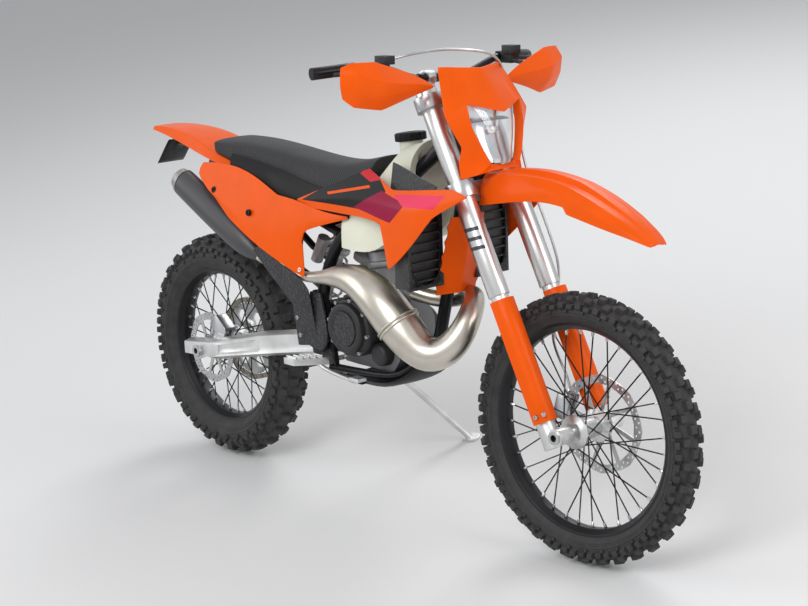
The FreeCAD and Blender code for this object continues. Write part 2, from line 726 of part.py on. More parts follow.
def engine_case():
    """The crankcases with their joint rib, the rear mount's lug and the countershaft with its sprocket."""
    case = prism(CASE_SHARES, CASE_RIGHT_Y, CASE_LEFT_Y)
    rib = prism(CASE_RIB_SHARES, -CASE_RIB_HALF, CASE_RIB_HALF)
    cross_place = spot(FRAME_CROSS_SHARES[0], 0, FRAME_CROSS_SHARES[1])
    cross_room = across(cross_place, -PLATE_Y, PLATE_Y, FRAME_CROSS_RADIUS + GAP)
    lug = block(spot(*MOUNT_LUG_SHARES[0]), spot(*MOUNT_LUG_SHARES[1])).cut(cross_room)
    shaft_centre = spot(COUNTERSHAFT_SHARES[0], 0, COUNTERSHAFT_SHARES[1])
    shaft = across(shaft_centre, CASE_LEFT_Y, CHAIN_Y + SPROCKET_THICK, COUNTERSHAFT_RADIUS)
    small = toothed(FRONT_TEETH, pitch_radius(FRONT_TEETH) * math.cos(math.pi / FRONT_TEETH) - CHAIN_HALF_HEIGHT - GAP,
                    CHAIN_Y - SPROCKET_THICK / 2, CHAIN_Y + SPROCKET_THICK / 2)
    small.translate(V(shaft_centre.x, 0, shaft_centre.z))
    return fused([case, rib, lug, shaft, small])


CLUTCH_SHARES = (0.722, 0.520)
CLUTCH_RADIUS = 86.0
CLUTCH_DEPTH = 56.0
CLUTCH_CAP_RADIUS = 72.0
CLUTCH_CAP_DEPTH = 18.0
CLUTCH_DISH_RADIUS = 52.0
CLUTCH_DISH_DEPTH = 5.0
PUMP_SHARES = (0.812, 0.452)
PUMP_RADIUS = 34.0
PUMP_DEPTH = 34.0
IGNITION_SHARES = (0.790, 0.500)
IGNITION_RADIUS = 62.0
IGNITION_DEPTH = 40.0
IGNITION_CAP_SHARE = 0.7
COVER_BEVEL = 9.0
COVER_FACETS = 20


def round_cover(centre, profile):
    """A turned cover about the y axis, from (radius, y) corners, with flat facets."""
    rings = []
    for radius, y in profile:
        rings.append([V(centre.x + radius * math.cos(2 * math.pi * turn / COVER_FACETS), y,
                        centre.z + radius * math.sin(2 * math.pi * turn / COVER_FACETS))
                      for turn in range(COVER_FACETS)])
    return stacked(rings)


def engine_covers():
    """The dished clutch cover and the water pump on the right, the ignition cover on the left."""
    face = CASE_RIGHT_Y - CLUTCH_DEPTH
    cap = face - CLUTCH_CAP_DEPTH
    clutch = round_cover(spot(CLUTCH_SHARES[0], 0, CLUTCH_SHARES[1]), [
        (CLUTCH_RADIUS, CASE_RIGHT_Y), (CLUTCH_RADIUS, face + COVER_BEVEL), (CLUTCH_RADIUS - COVER_BEVEL, face),
        (CLUTCH_CAP_RADIUS, face), (CLUTCH_CAP_RADIUS, cap + COVER_BEVEL / 2),
        (CLUTCH_CAP_RADIUS - COVER_BEVEL / 2, cap), (CLUTCH_DISH_RADIUS, cap),
        (CLUTCH_DISH_RADIUS - COVER_BEVEL / 2, cap + CLUTCH_DISH_DEPTH)])
    pump = round_cover(spot(PUMP_SHARES[0], 0, PUMP_SHARES[1]), [
        (PUMP_RADIUS, CASE_RIGHT_Y), (PUMP_RADIUS, CASE_RIGHT_Y - PUMP_DEPTH + COVER_BEVEL),
        (PUMP_RADIUS - COVER_BEVEL, CASE_RIGHT_Y - PUMP_DEPTH)])
    end = CASE_LEFT_Y + IGNITION_DEPTH
    ignition = round_cover(spot(IGNITION_SHARES[0], 0, IGNITION_SHARES[1]), [
        (IGNITION_RADIUS, CASE_LEFT_Y), (IGNITION_RADIUS, end - COVER_BEVEL), (IGNITION_RADIUS - COVER_BEVEL, end),
        (IGNITION_CAP_SHARE * IGNITION_RADIUS, end), (IGNITION_CAP_SHARE * IGNITION_RADIUS, end + COVER_BEVEL)])
    return Part.Compound([fused([clutch, pump]), ignition])


BARREL_SHARES = [(0.775, 0.0, 0.596), (0.750, 0.0, 0.730)]
BARREL_RADIUS = 52.0
BARREL_FLANGE_RADIUS = 60.0
BARREL_SIDES = 12
HEAD_RADIUS = 56.0
EXHAUST_SEAT_SHARES = (0.790, 0.0, 0.644)
EXHAUST_PORT_SHARES = (0.862, 0.0, 0.616)
EXHAUST_STUB_RADIUS = 27.0
BARREL_RING_SHARES = [(0.0, 1.0), (0.08, 1.0), (0.10, 0.86), (0.60, 0.86), (0.64, 1.0), (0.74, 1.0), (0.76, 0.9),
                      (0.94, 0.9), (1.0, 0.62)]


def cylinder_head():
    """The barrel between its flanges, the head, the exhaust stub, and the carburettor on its intake."""
    foot, top = [spot(*place) for place in BARREL_SHARES]
    places = [foot + (top - foot) * share for share, width in BARREL_RING_SHARES]
    radii = [BARREL_FLANGE_RADIUS * width for share, width in BARREL_RING_SHARES]
    barrel = stacked(rings_along(places, radii, BARREL_SIDES))
    stub = cylinder(spot(*EXHAUST_SEAT_SHARES), spot(*EXHAUST_PORT_SHARES), EXHAUST_STUB_RADIUS)
    intake = tube([spot(*place) for place in INTAKE_SHARES], INTAKE_RADIUS)
    throat = tube([spot(*place) for place in THROAT_SHARES], THROAT_RADIUS)
    bowl = block(spot(*FLOAT_BOWL_SHARES[0]), spot(*FLOAT_BOWL_SHARES[1]))
    return fused([barrel, stub, intake, throat, bowl]).cut(engine_case())


PIPE_SIDES = 14
PIPE_SHARES = [(0.926, 0.34, 0.598, 0.25), (0.990, 0.54, 0.614, 0.26), (1.046, 0.44, 0.632, 0.28),
               (1.088, 0.06, 0.626, 0.30), (1.110, -0.34, 0.594, 0.33), (1.108, -0.62, 0.550, 0.38),
               (1.078, -0.88, 0.502, 0.46), (1.032, -1.12, 0.484, 0.53), (0.985, -1.32, 0.520, 0.58),
               (0.930, -1.46, 0.585, 0.62), (0.860, -1.46, 0.640, 0.58), (0.780, -1.40, 0.665, 0.47),
               (0.700, -1.36, 0.664, 0.34), (0.640, -1.36, 0.652, 0.20), (0.560, -1.31, 0.640, 0.14),
               (0.440, -1.24, 0.640, 0.14), (0.322, -1.145, 0.668, 0.14)]
PIPE_START_RADIUS = 24.0


def exhaust_pipe():
    """The expansion chamber: rings of changing size along its loop, from the port to the silencer's nose."""
    seat_place, port = spot(*EXHAUST_SEAT_SHARES), spot(*EXHAUST_PORT_SHARES)
    first = port + V(port - seat_place).normalize() * GAP
    places = [first] + [spot(along, side, up) for along, side, up, size in PIPE_SHARES]
    radii = [PIPE_START_RADIUS] + [size * CHASSIS_HALF for along, side, up, size in PIPE_SHARES]
    befores = [first - (port - seat_place)] + places[:-1]
    afters = places[1:] + [places[-1] + silencer_way()]
    before_last = [places[-1] - silencer_way()]
    befores = befores[:-1] + before_last
    afters[0] = first + (port - seat_place)
    rings = []
    for place, radius, before, after in zip(places, radii, befores, afters):
        way = V(after - before).normalize()
        side = V(way.cross(Y_AXIS)).normalize()
        up = way.cross(side)
        angles = [2 * math.pi * turn / PIPE_SIDES for turn in range(PIPE_SIDES)]
        rings.append([place + side * (radius * math.cos(angle)) + up * (radius * math.sin(angle))
                      for angle in angles])
    return stacked(rings)


def silencer_way():
    """The direction from the pipe's end to the silencer's tail."""
    return V(spot(*SILENCER_TAIL_SHARES) - spot(*PIPE_SHARES[-1][:3])).normalize()


SILENCER_TAIL_SHARES = (-0.020, -1.41, 0.872)
SILENCER_SHARES = [(0.0, 0.66), (0.012, 0.78), (0.05, 0.80), (0.055, 0.92), (0.10, 0.96), (0.6, 1.0), (0.84, 0.9),
                   (0.93, 0.62), (1.0, 0.34)]
SILENCER_HALF_WIDTH = 41.0
SILENCER_HALF_HEIGHT = 47.0
SILENCER_SIDES = 12
SILENCER_MOUTH_RADIUS = 16.0
SILENCER_MOUTH_DEPTH = 30.0


def silencer():
    """The tapered muffler on the right, with its end cap and open mouth."""
    tail = spot(*SILENCER_TAIL_SHARES)
    nose = spot(*PIPE_SHARES[-1][:3]) + silencer_way() * GAP
    way = silencer_way() * -1
    up = V(way.cross(Y_AXIS)).normalize()
    side = up.cross(way)
    rings = []
    for share, size in SILENCER_SHARES:
        centre = tail + (nose - tail) * share
        angles = [2 * math.pi * (turn + 0.5) / SILENCER_SIDES for turn in range(SILENCER_SIDES)]
        rings.append([centre + side * (size * SILENCER_HALF_WIDTH * math.cos(angle))
                      + up * (size * SILENCER_HALF_HEIGHT * math.sin(angle)) for angle in angles])
    mouth = cylinder(tail - way * OVERRUN, tail + way * SILENCER_MOUTH_DEPTH, SILENCER_MOUTH_RADIUS)
    return stacked(rings).cut(mouth)


# Tank, seat and bodywork

TANK_SHARES = [(0.700, 0.740, 0.868, 1.12, 1.20), (0.800, 0.736, 0.930, 1.12, 1.28), (0.880, 0.760, 1.020, 0.90, 1.26),
               (0.955, 0.850, 1.046, 0.60, 0.98)]
TANK_SHOULDER_SHARE = 0.75
TANK_TOP_SHARE = 0.6
NECK_SHARES = [(0.868, 0.0, 1.000), (0.862, 0.0, 1.052)]
NECK_RADIUS = 34.0
TUNNEL_SHARES = [(0.640, -0.75, 0.700), (1.040, 0.75, 0.890)]
HEAD_CLEARANCE = 6.0


def tank_body():
    """The tank's outer shape."""
    rings = []
    for along, low, high, top_half, low_half in TANK_SHARES:
        shoulder = TANK_SHOULDER_SHARE * high + (1 - TANK_SHOULDER_SHARE) * low
        side = [(-low_half, low), (-low_half, shoulder), (-TANK_TOP_SHARE * top_half, high)]
        rings.append([spot(along, y, z) for y, z in side + [(-y, z) for y, z in reversed(side)]])
    return stacked(rings)


def fuel_tank():
    """The tank: it straddles the spars, with a filler neck and cap on top."""
    neck = cylinder(spot(*NECK_SHARES[0]), spot(*NECK_SHARES[1]), NECK_RADIUS)
    spar_room = spar(SPAR_RADIUS + GAP)
    cuts = [block(spot(*TUNNEL_SHARES[0]), spot(*TUNNEL_SHARES[1])), spar_room, mirrored(spar_room),
            cylinder(on_axis(LOWER_CLAMP[1]), on_axis(UPPER_CLAMP[0]), HEAD_TUBE_RADIUS + HEAD_CLEARANCE)]
    return largest(tank_body().fuse(neck).cut(cuts)).removeSplitter()


SEAT_SHARES = [(0.084, 0.9468, 0.986, 0.52, 0.80), (0.230, 0.9165, 0.992, 0.50, 0.95), (0.390, 0.900, 0.975, 0.48, 1.00),
               (0.540, 0.872, 0.959, 0.48, 1.04), (0.660, 0.882, 0.960, 0.46, 1.04), (0.790, 0.950, 0.990, 0.32, 0.88)]
SEAT_SHOULDER_SHARE = 0.8
SEAT_EDGE_SHARE = 0.3


def seat():
    """The saddle: a padded solid over the rails, the tail and the tank's back."""
    rings = []
    for along, low, high, top_half, low_half in SEAT_SHARES:
        shoulder = low + SEAT_SHOULDER_SHARE * (high - low)
        shoulder_half = top_half + SEAT_EDGE_SHARE
        side = [(-low_half, low), (-shoulder_half, shoulder), (-top_half, high)]
        rings.append([spot(along, y, z) for y, z in side + [(-y, z) for y, z in reversed(side)]])
    return stacked(rings)


TAIL_SHARES = [(-0.272, 0.986, 0.997, 0.50), (-0.180, 0.976, 1.004, 0.62), (-0.040, 0.952, 0.992, 0.84),
               (0.078, 0.925, 0.948, 0.96), (0.230, 0.900, 0.916, 0.98)]
TAIL_PROFILE_SHARES = [(-1.0, 0.0), (-0.86, 0.88), (0.0, 1.0), (0.86, 0.88), (1.0, 0.0)]


def rear_fender():
    """The tail fender, an arched shell under the seat's end."""
    return arch(TAIL_SHARES, TAIL_PROFILE_SHARES, spot)


PANEL_OUTLINE_SHARES = [(0.040, 0.905), (0.212, 0.928), (0.328, 0.898), (0.440, 0.858), (0.552, 0.856),
                        (0.560, 0.768), (0.534, 0.740), (0.566, 0.640), (0.545, 0.630), (0.345, 0.712),
                        (0.197, 0.782), (0.074, 0.885)]
PANEL_SKIN_SHARES = [(0.0, [(-1.04, 0.980), (-1.28, 0.880), (-1.72, 0.740), (-1.76, 0.600)]),
                     (0.2, [(-1.04, 0.980), (-1.40, 0.860), (-1.78, 0.730), (-1.82, 0.600)]),
                     (0.4, [(-1.08, 0.980), (-1.36, 0.850), (-1.70, 0.720), (-1.72, 0.600)]),
                     (0.6, [(-1.10, 0.980), (-1.24, 0.850), (-1.44, 0.720), (-1.50, 0.600)])]
PANEL_PEG_SHARES = [(0.330, 0.842), (0.170, 0.884)]
PEG_RADIUS = 7.0


def skin_panel(outline_shares, skin_shares):
    """A thin panel on the right: a bent skin trimmed to an outline in the side view."""
    rings = []
    for along, places in skin_shares:
        outer = [spot(along, side, up) for side, up in places]
        inner = [place + Y_AXIS * SKIN for place in reversed(outer)]
        rings.append(outer + inner)
    return largest(stacked(rings).common(prism(outline_shares, -4 * CHASSIS_HALF, 0)))


def skin_side(skin_shares, along, up):
    """How far to the right a skin's inner face lies at a place in the side view."""
    column = []
    for station, places in skin_shares:
        for (side0, up0), (side1, up1) in zip(places, places[1:]):
            if up1 <= up <= up0:
                column.append((station, side0 + (side1 - side0) * (up0 - up) / (up0 - up1)))
                break
    for (a0, side0), (a1, side1) in zip(column, column[1:]):
        if a0 <= along <= a1:
            return (side0 + (side1 - side0) * (along - a0) / (a1 - a0)) * CHASSIS_HALF + SKIN / 2


def rail_side(along):
    """The right rail's outer side at a place along it."""
    for (a1, s1, u1), (a0, s0, u0) in zip(RAIL_SHARES, RAIL_SHARES[1:]):
        if a0 <= along <= a1:
            return (s0 + (s1 - s0) * (along - a0) / (a1 - a0)) * CHASSIS_HALF - RAIL_RADIUS * PEG_FACET_SHARE


PEG_FACET_SHARE = 0.88


def side_panels(carrier):
    """The number-plate panels, one on each side, on pegs from the rails."""
    panel = skin_panel(PANEL_OUTLINE_SHARES, PANEL_SKIN_SHARES)
    pegs = []
    for along, up in PANEL_PEG_SHARES:
        place = spot(along, 0, up)
        start = V(place.x, rail_side(along), place.z)
        end = V(place.x, skin_side(PANEL_SKIN_SHARES, along, up), place.z)
        pegs.append(peg(start, end, PEG_RADIUS, carrier))
    return both_sides(fused([panel] + pegs))


SHROUD_OUTLINE_SHARES = [(0.568, 0.866), (0.700, 0.902), (0.812, 0.962), (0.934, 0.924), (1.060, 0.952),
                         (1.180, 0.962), (1.272, 0.942), (1.180, 0.880), (1.100, 0.822), (1.020, 0.740),
                         (0.968, 0.724), (0.938, 0.780), (0.914, 0.840), (0.760, 0.820), (0.568, 0.850)]
SHROUD_SKIN_SHARES = [(0.540, [(-1.06, 1.000), (-1.14, 0.910), (-1.22, 0.860), (-1.30, 0.700)]),
                      (0.800, [(-1.12, 1.000), (-1.40, 0.910), (-1.50, 0.870), (-1.60, 0.700)]),
                      (0.960, [(-1.34, 1.000), (-1.80, 0.900), (-1.90, 0.860), (-1.98, 0.700)]),
                      (1.120, [(-1.68, 1.000), (-2.04, 0.900), (-2.08, 0.860), (-2.06, 0.700)]),
                      (1.320, [(-1.88, 1.000), (-2.04, 0.930), (-2.08, 0.880), (-2.06, 0.700)])]
SHROUD_PEG_SHARES = (0.730, 0.850)
DEFLECTOR_SHARES = [(1.034, 1.048, 0.587, 0.690), (1.078, 1.098, 0.50, 0.842)]


def shrouds(tank):
    """The radiator shrouds, from the tank out to their pointed front ends, and the centre deflector."""
    panel = skin_panel(SHROUD_OUTLINE_SHARES, SHROUD_SKIN_SHARES)
    place = spot(SHROUD_PEG_SHARES[0], 0, SHROUD_PEG_SHARES[1])
    end = V(place.x, skin_side(SHROUD_SKIN_SHARES, *SHROUD_PEG_SHARES), place.z)
    right = fused([panel, peg(V(place.x, -PLATE_Y, place.z), end, PEG_RADIUS, tank)])
    return Part.Compound([both_sides(right), deflector()])


def deflector():
    """The centre deflector in front of the down tube."""
    rings = []
    for edge, middle, half, up in DEFLECTOR_SHARES:
        front = [spot(edge, -half, up), spot(middle, 0, up), spot(edge, half, up)]
        rings.append(front + [place - V(SKIN, 0, 0) for place in reversed(front)])
    return stacked(rings)


RADIATOR_SHARES = [(0.984, -1.78, 0.674), (1.028, -0.62, 0.884)]
RADIATOR_TANK = 14.0
RADIATOR_TANK_PROUD = 3.0
RADIATOR_PEG_SHARES = (1.006, 0.850)
LOUVRE_FRAME = 8.0
LOUVRE_DEPTH = 12.0
LOUVRE_SLATS = 8
LOUVRE_SLAT = 4.0
LOUVRE_MARGIN = 2.0
COVER_OUTLINE_SHARES = [(0.912, 0.992), (0.960, 0.986), (1.132, 0.953), (1.112, 0.918), (0.942, 0.906)]
COVER_SKIN_SHARES = [(0.900, [(-1.04, 1.000), (-1.48, 0.900)]), (1.180, [(-1.50, 1.000), (-1.78, 0.900)])]
COVER_PEG_SHARES = (0.935, 0.965)


def radiators(shroud):
    """Two cores with their side tanks, each on a peg from its shroud."""
    low, high = [spot(*place) for place in RADIATOR_SHARES]
    core = block(low, high)
    tanks = [block(V(low.x - RADIATOR_TANK_PROUD, y, low.z), V(high.x, y + RADIATOR_TANK, high.z))
             for y in (low.y, high.y - RADIATOR_TANK)]
    place = spot(RADIATOR_PEG_SHARES[0], 0, RADIATOR_PEG_SHARES[1])
    outside = skin_side(SHROUD_SKIN_SHARES, *RADIATOR_PEG_SHARES) - SKIN / 2
    pin = peg(V(place.x, outside, place.z), V(place.x, low.y + PEG_RADIUS, place.z), PEG_RADIUS, shroud)
    return both_sides(fused([core, pin] + tanks))


def radiator_guards(tank):
    """Slatted guards in front of the cores and textured covers above them."""
    low, high = [spot(*place) for place in RADIATOR_SHARES]
    frame_low = V(high.x + GAP, low.y - SKIN, low.z - LOUVRE_MARGIN)
    frame_high = V(high.x + GAP + LOUVRE_DEPTH, high.y + SKIN, high.z + LOUVRE_MARGIN)
    rim_step = V(0, LOUVRE_FRAME, LOUVRE_FRAME)
    window = block(frame_low + rim_step - V(OVERRUN, 0, 0), frame_high - rim_step + V(OVERRUN, 0, 0))
    pieces = [block(frame_low, frame_high).cut(window)]
    room = frame_high.z - frame_low.z - 2 * LOUVRE_FRAME
    for index in range(LOUVRE_SLATS):
        level = frame_low.z + LOUVRE_FRAME + room * (index + 0.5) / LOUVRE_SLATS
        pieces.append(block(V(frame_low.x + LOUVRE_MARGIN, frame_low.y + LOUVRE_FRAME, level - LOUVRE_SLAT / 2),
                            V(frame_high.x - LOUVRE_MARGIN, frame_high.y - LOUVRE_FRAME, level + LOUVRE_SLAT / 2)))
    louvre = fused(pieces)
    cover = skin_panel(COVER_OUTLINE_SHARES, COVER_SKIN_SHARES)
    place = spot(COVER_PEG_SHARES[0], 0, COVER_PEG_SHARES[1])
    end = V(place.x, skin_side(COVER_SKIN_SHARES, *COVER_PEG_SHARES), place.z)
    cover = fused([cover, peg(V(place.x, -PLATE_Y / 2, place.z), end, PEG_RADIUS, tank)])
    return Part.Compound([louvre, cover, mirrored(louvre), mirrored(cover)])


# Shock, guards and foot controls

SHOCK_EYE_RADIUS = 15.0
SHOCK_EYE_HALF = 14.0
SHOCK_TOP_RADIUS = 24.0
SHOCK_ROD_RADIUS = 9.0
SHOCK_BODY_RADIUS = 22.0
SPRING_RADIUS = 33.0
SPRING_WIRE = 9.0
SPRING_TURNS = 6
SPRING_STEPS = 10
SPRING_SHARES = (0.2, 0.78)
BOTTLE_SHARES = [(0.490, -0.40, 0.668), (0.530, -0.42, 0.738)]
BOTTLE_RADIUS = 19.0
BOTTLE_NECK_SHARES = [(0.556, 0.0, 0.735), (0.520, -0.40, 0.716)]
BOTTLE_NECK_RADIUS = 10.0


def rear_shock():
    """The damper with its coil spring, its gas bottle, and an eye at each end."""
    bridge_low, bridge_high = bridge_corners()
    eye_flat = SHOCK_EYE_RADIUS * math.cos(math.pi / ROUND_SIDES)
    low = V(bridge_low.x + 2 * SHOCK_EYE_RADIUS, 0, bridge_high.z + eye_flat + GAP)
    high = spot(SHOCK_TOP_SHARES[0], 0, SHOCK_TOP_SHARES[1])
    cross = spot(RAIL_CROSS_SHARES[0][0], 0, RAIL_CROSS_SHARES[0][1])
    cross_room = across(cross, -PLATE_Y, PLATE_Y, CROSS_RADIUS + GAP)
    way = high - low
    eyes = [across(low, -SHOCK_EYE_HALF, SHOCK_EYE_HALF, SHOCK_EYE_RADIUS),
            across(high, -SHOCK_EYE_HALF, SHOCK_EYE_HALF, SHOCK_TOP_RADIUS).cut(cross_room)]
    rod = tube([low, low + way * SPRING_SHARES[1]], SHOCK_ROD_RADIUS)
    body = tube([low + way * 0.5, low + way * SPRING_SHARES[1], high], SHOCK_BODY_RADIUS)
    seats = [tube([low + way * share, low + way * (share + 0.04)], SPRING_RADIUS + SPRING_WIRE / 2)
             for share in (SPRING_SHARES[0] - 0.03, SPRING_SHARES[1] - 0.01)]
    bottle = tube([spot(*place) for place in BOTTLE_SHARES], BOTTLE_RADIUS)
    neck = tube([spot(*place) for place in BOTTLE_NECK_SHARES], BOTTLE_NECK_RADIUS)
    return fused(eyes + [rod, body, bottle, neck] + seats + [spring(low, way)])


def spring(low, way):
    """The coil, with a square wire."""
    along = V(way).normalize()
    first = Y_AXIS
    second = along.cross(first)
    start, end = [low + way * share for share in SPRING_SHARES]
    half = SPRING_WIRE / 2
    rings = []
    total = SPRING_TURNS * SPRING_STEPS
    for step in range(total + 1):
        angle = 2 * math.pi * step / SPRING_STEPS
        out = first * math.cos(angle) + second * math.sin(angle)
        centre = start + (end - start) * (step / total) + out * SPRING_RADIUS
        rings.append([centre + out * half, centre + along * half, centre - out * half, centre - along * half])
    return stacked(rings)


SKID_SHARES = [(0.610, 0.352, 0.88), (0.700, 0.351, 0.92), (0.840, 0.350, 0.96), (0.925, 0.400, 0.80),
               (0.968, 0.480, 0.50)]
SKID_SIDE = 18.0
SKID_FLOOR_SHARE = 0.8
SKID_PAD_SHARES = (0.720, -0.84)
SKID_PAD_HALF = 9.0


def skid_plate():
    """The engine guard under the cradle, with a pad below each tube."""
    rings = []
    for along, up, half in SKID_SHARES:
        floor = spot(along, 0, up)
        side = half * CHASSIS_HALF
        flat = side * SKID_FLOOR_SHARE
        outer = [floor + V(0, -side, SKID_SIDE), floor + V(0, -flat, 0), floor + V(0, flat, 0),
                 floor + V(0, side, SKID_SIDE)]
        inner = [floor + V(0, side - SKIN, SKID_SIDE + SKIN / 2), floor + V(0, flat - SKIN / 2, SKIN),
                 floor + V(0, -flat + SKIN / 2, SKIN), floor + V(0, -side + SKIN, SKID_SIDE + SKIN / 2)]
        rings.append(outer + inner)
    tube_low = CRADLE_SHARES[-2][2] * CHASSIS_HEIGHT - CRADLE_RADIUS
    pad_place = spot(SKID_PAD_SHARES[0], SKID_PAD_SHARES[1], SKID_SHARES[1][1])
    pads = []
    for side in (-1, 1):
        low = V(pad_place.x - SKID_PAD_HALF, side * abs(pad_place.y) - SKID_PAD_HALF, pad_place.z + SKIN / 2)
        high = V(pad_place.x + SKID_PAD_HALF, side * abs(pad_place.y) + SKID_PAD_HALF, tube_low)
        pads.append(block(low, high))
    return fused([stacked(rings)] + pads)


GUARD_SHARES = [(0.500, 0.480), (0.540, 0.436), (0.608, 0.436), (0.636, 0.476), (0.614, 0.560), (0.604, 0.600),
                (0.560, 0.600), (0.548, 0.560)]
GUARD_THICK = 8.0


def frame_guards():
    """Textured covers over the pivot plates and the spars' feet."""
    face = SPAR_SHARES[-1][1] * CHASSIS_HALF - SPAR_RADIUS * math.cos(math.pi / TUBE_SIDES) - GAP
    return both_sides(prism(GUARD_SHARES, face - GUARD_THICK, face))


POST_SHARES = [(0.592, 0.402), (0.634, 0.402), (0.630, 0.424), (0.596, 0.424)]
POST_DEPTH = 20.0
PEG_ROOT_SHARES = [(0.592, -1.28, 0.402), (0.634, -1.28, 0.402), (0.634, -1.28, 0.424), (0.592, -1.28, 0.424)]
PEG_TIP_SHARES = [(0.566, -2.35, 0.414), (0.608, -2.35, 0.414), (0.608, -2.35, 0.432), (0.566, -2.35, 0.432)]
PEG_TEETH = 5
PEG_TOOTH_HEIGHT = 6.0
PEG_TOOTH_THICK = 4.0
PEDAL_SHARES = [(0.556, -1.18, 0.408), (0.590, -1.20, 0.382), (0.700, -1.24, 0.372), (0.770, -1.48, 0.378),
                (0.800, -1.66, 0.392)]
PEDAL_PAD_SHARES = [(0.780, -1.80, 0.390), (0.816, -1.50, 0.400)]
PEDAL_RADIUS = 7.0
LEVER_SHARES = [(0.700, 0.70, 0.440), (0.700, 1.24, 0.440), (0.760, 1.32, 0.448), (0.830, 1.38, 0.462)]
LEVER_RADIUS = 7.0


def foot_controls():
    """Toothed footpegs on their brackets, the brake pedal and the gear lever."""
    face = -PLATE_Y - PLATE_THICK - GAP
    post = prism(POST_SHARES, face - POST_DEPTH, face)
    root = [spot(*place) for place in PEG_ROOT_SHARES]
    tip = [spot(*place) for place in PEG_TIP_SHARES]
    rest = stacked([root, tip])
    teeth = []
    for index in range(PEG_TEETH):
        share = (index + 1.0) / (PEG_TEETH + 0.5)
        back = root[3] + (tip[3] - root[3]) * share
        front = root[2] + (tip[2] - root[2]) * share
        teeth.append(block(V(back.x, back.y - PEG_TOOTH_THICK / 2, back.z - PEG_TOOTH_THICK),
                           V(front.x, front.y + PEG_TOOTH_THICK / 2, back.z + PEG_TOOTH_HEIGHT)))
    right = fused([post, rest] + teeth)
    boss_place = spot(PEDAL_SHARES[0][0], 0, PEDAL_SHARES[0][2])
    boss = across(boss_place, face, PEDAL_SHARES[0][1] * CHASSIS_HALF - PEDAL_RADIUS, PEDAL_RADIUS + SKIN)
    pedal = fused([tube([spot(*place) for place in PEDAL_SHARES], PEDAL_RADIUS), boss,
                   block(spot(*PEDAL_PAD_SHARES[0]), spot(*PEDAL_PAD_SHARES[1]))])
    first = V(LEVER_SHARES[0][0] * CHASSIS_LENGTH, CASE_LEFT_Y + GAP, LEVER_SHARES[0][2] * CHASSIS_HEIGHT)
    lever = tube([first] + [spot(*place) for place in LEVER_SHARES[1:]], LEVER_RADIUS)
    return Part.Compound([right, mirrored(right), pedal, lever])


def rear_axle():
    """The hollow rear axle with its nuts."""
    reach = ARM_OUTER_Y + AXLE_NUT_REACH
    spindle = turned_across(REAR_AXLE, -reach, reach, AXLE_RADIUS)
    nuts = [across(REAR_AXLE, side * (ARM_OUTER_Y + GAP), side * reach, AXLE_NUT_RADIUS) for side in (-1, 1)]
    return fused([spindle] + nuts).cut(turned_across(REAR_AXLE, -2 * reach, 2 * reach, AXLE_BORE))


CALIPER_BEVEL = 8.0


def caliper(y):
    """A caliper astride a disc at a distance across, over the origin."""
    half_length, half_width, half_height = CALIPER_LENGTH / 2, CALIPER_WIDTH / 2, CALIPER_HEIGHT / 2
    outline = [(-half_length, -half_height), (half_length, -half_height),
               (half_length, half_height - CALIPER_BEVEL), (half_length - CALIPER_BEVEL, half_height),
               (-half_length + CALIPER_BEVEL, half_height), (-half_length, half_height - CALIPER_BEVEL)]
    body = polygon_face([V(x, y - half_width, z) for x, z in outline]).extrude(Y_AXIS * CALIPER_WIDTH)
    slot_half = DISC_THICK / 2 + PAD_GAP
    slot = block(V(-half_length - OVERRUN, y - slot_half, -half_height - OVERRUN),
                 V(half_length + OVERRUN, y + slot_half, half_height - PAD_GAP))
    return body.cut(slot)


REAR_CALIPER_TURN = 40.0
REAR_CALIPER_X = 63.0
REAR_CALIPER_RISE = 75.0
CALIPER_LUG_SHARES = [(0.050, 0.354), (0.090, 0.354), (0.098, 0.396), (0.058, 0.396)]


def rear_caliper(carrier):
    """Above the swingarm, on its lug."""
    body = caliper(REAR_DISC_Y)
    body.rotate(V(0, 0, 0), Y_AXIS, REAR_CALIPER_TURN)
    body.translate(REAR_AXLE + V(REAR_CALIPER_X, 0, REAR_CALIPER_RISE))
    outer = REAR_DISC_Y - CALIPER_WIDTH / 2
    lug = prism(CALIPER_LUG_SHARES, -ARM_OUTER_Y, outer + SKIN).cut(carrier)
    lug = lug.common(prism(CALIPER_LUG_SHARES, -ARM_INNER_Y, outer + SKIN))
    return fused([body, largest(lug)])


# What the steering carries

WEB_BACK = 20.0
WEB_BACK_HALF = 22.0
WEB_FRONT = 12.0


def clamp(low, high):
    """One clamp: two split rings round the fork tubes, joined by a web."""
    ring = cylinder(on_axis(low, CLAMP_OFFSET, -FORK_Y), on_axis(high, CLAMP_OFFSET, -FORK_Y),
                    OUTER_TUBE_RADIUS + CLAMP_WALL, WIDE_SIDES)
    front = CLAMP_OFFSET + WEB_FRONT
    web = [(-WEB_BACK, -WEB_BACK_HALF), (-WEB_BACK, WEB_BACK_HALF), (front, FORK_Y), (front, -FORK_Y)]
    bridge = polygon_face([on_axis(low, out, side) for out, side in web]).extrude(AXIS_UP * (high - low))
    return fused([ring, mirrored(ring), bridge])


def bar_centre():
    return on_axis(BAR_LEVEL)


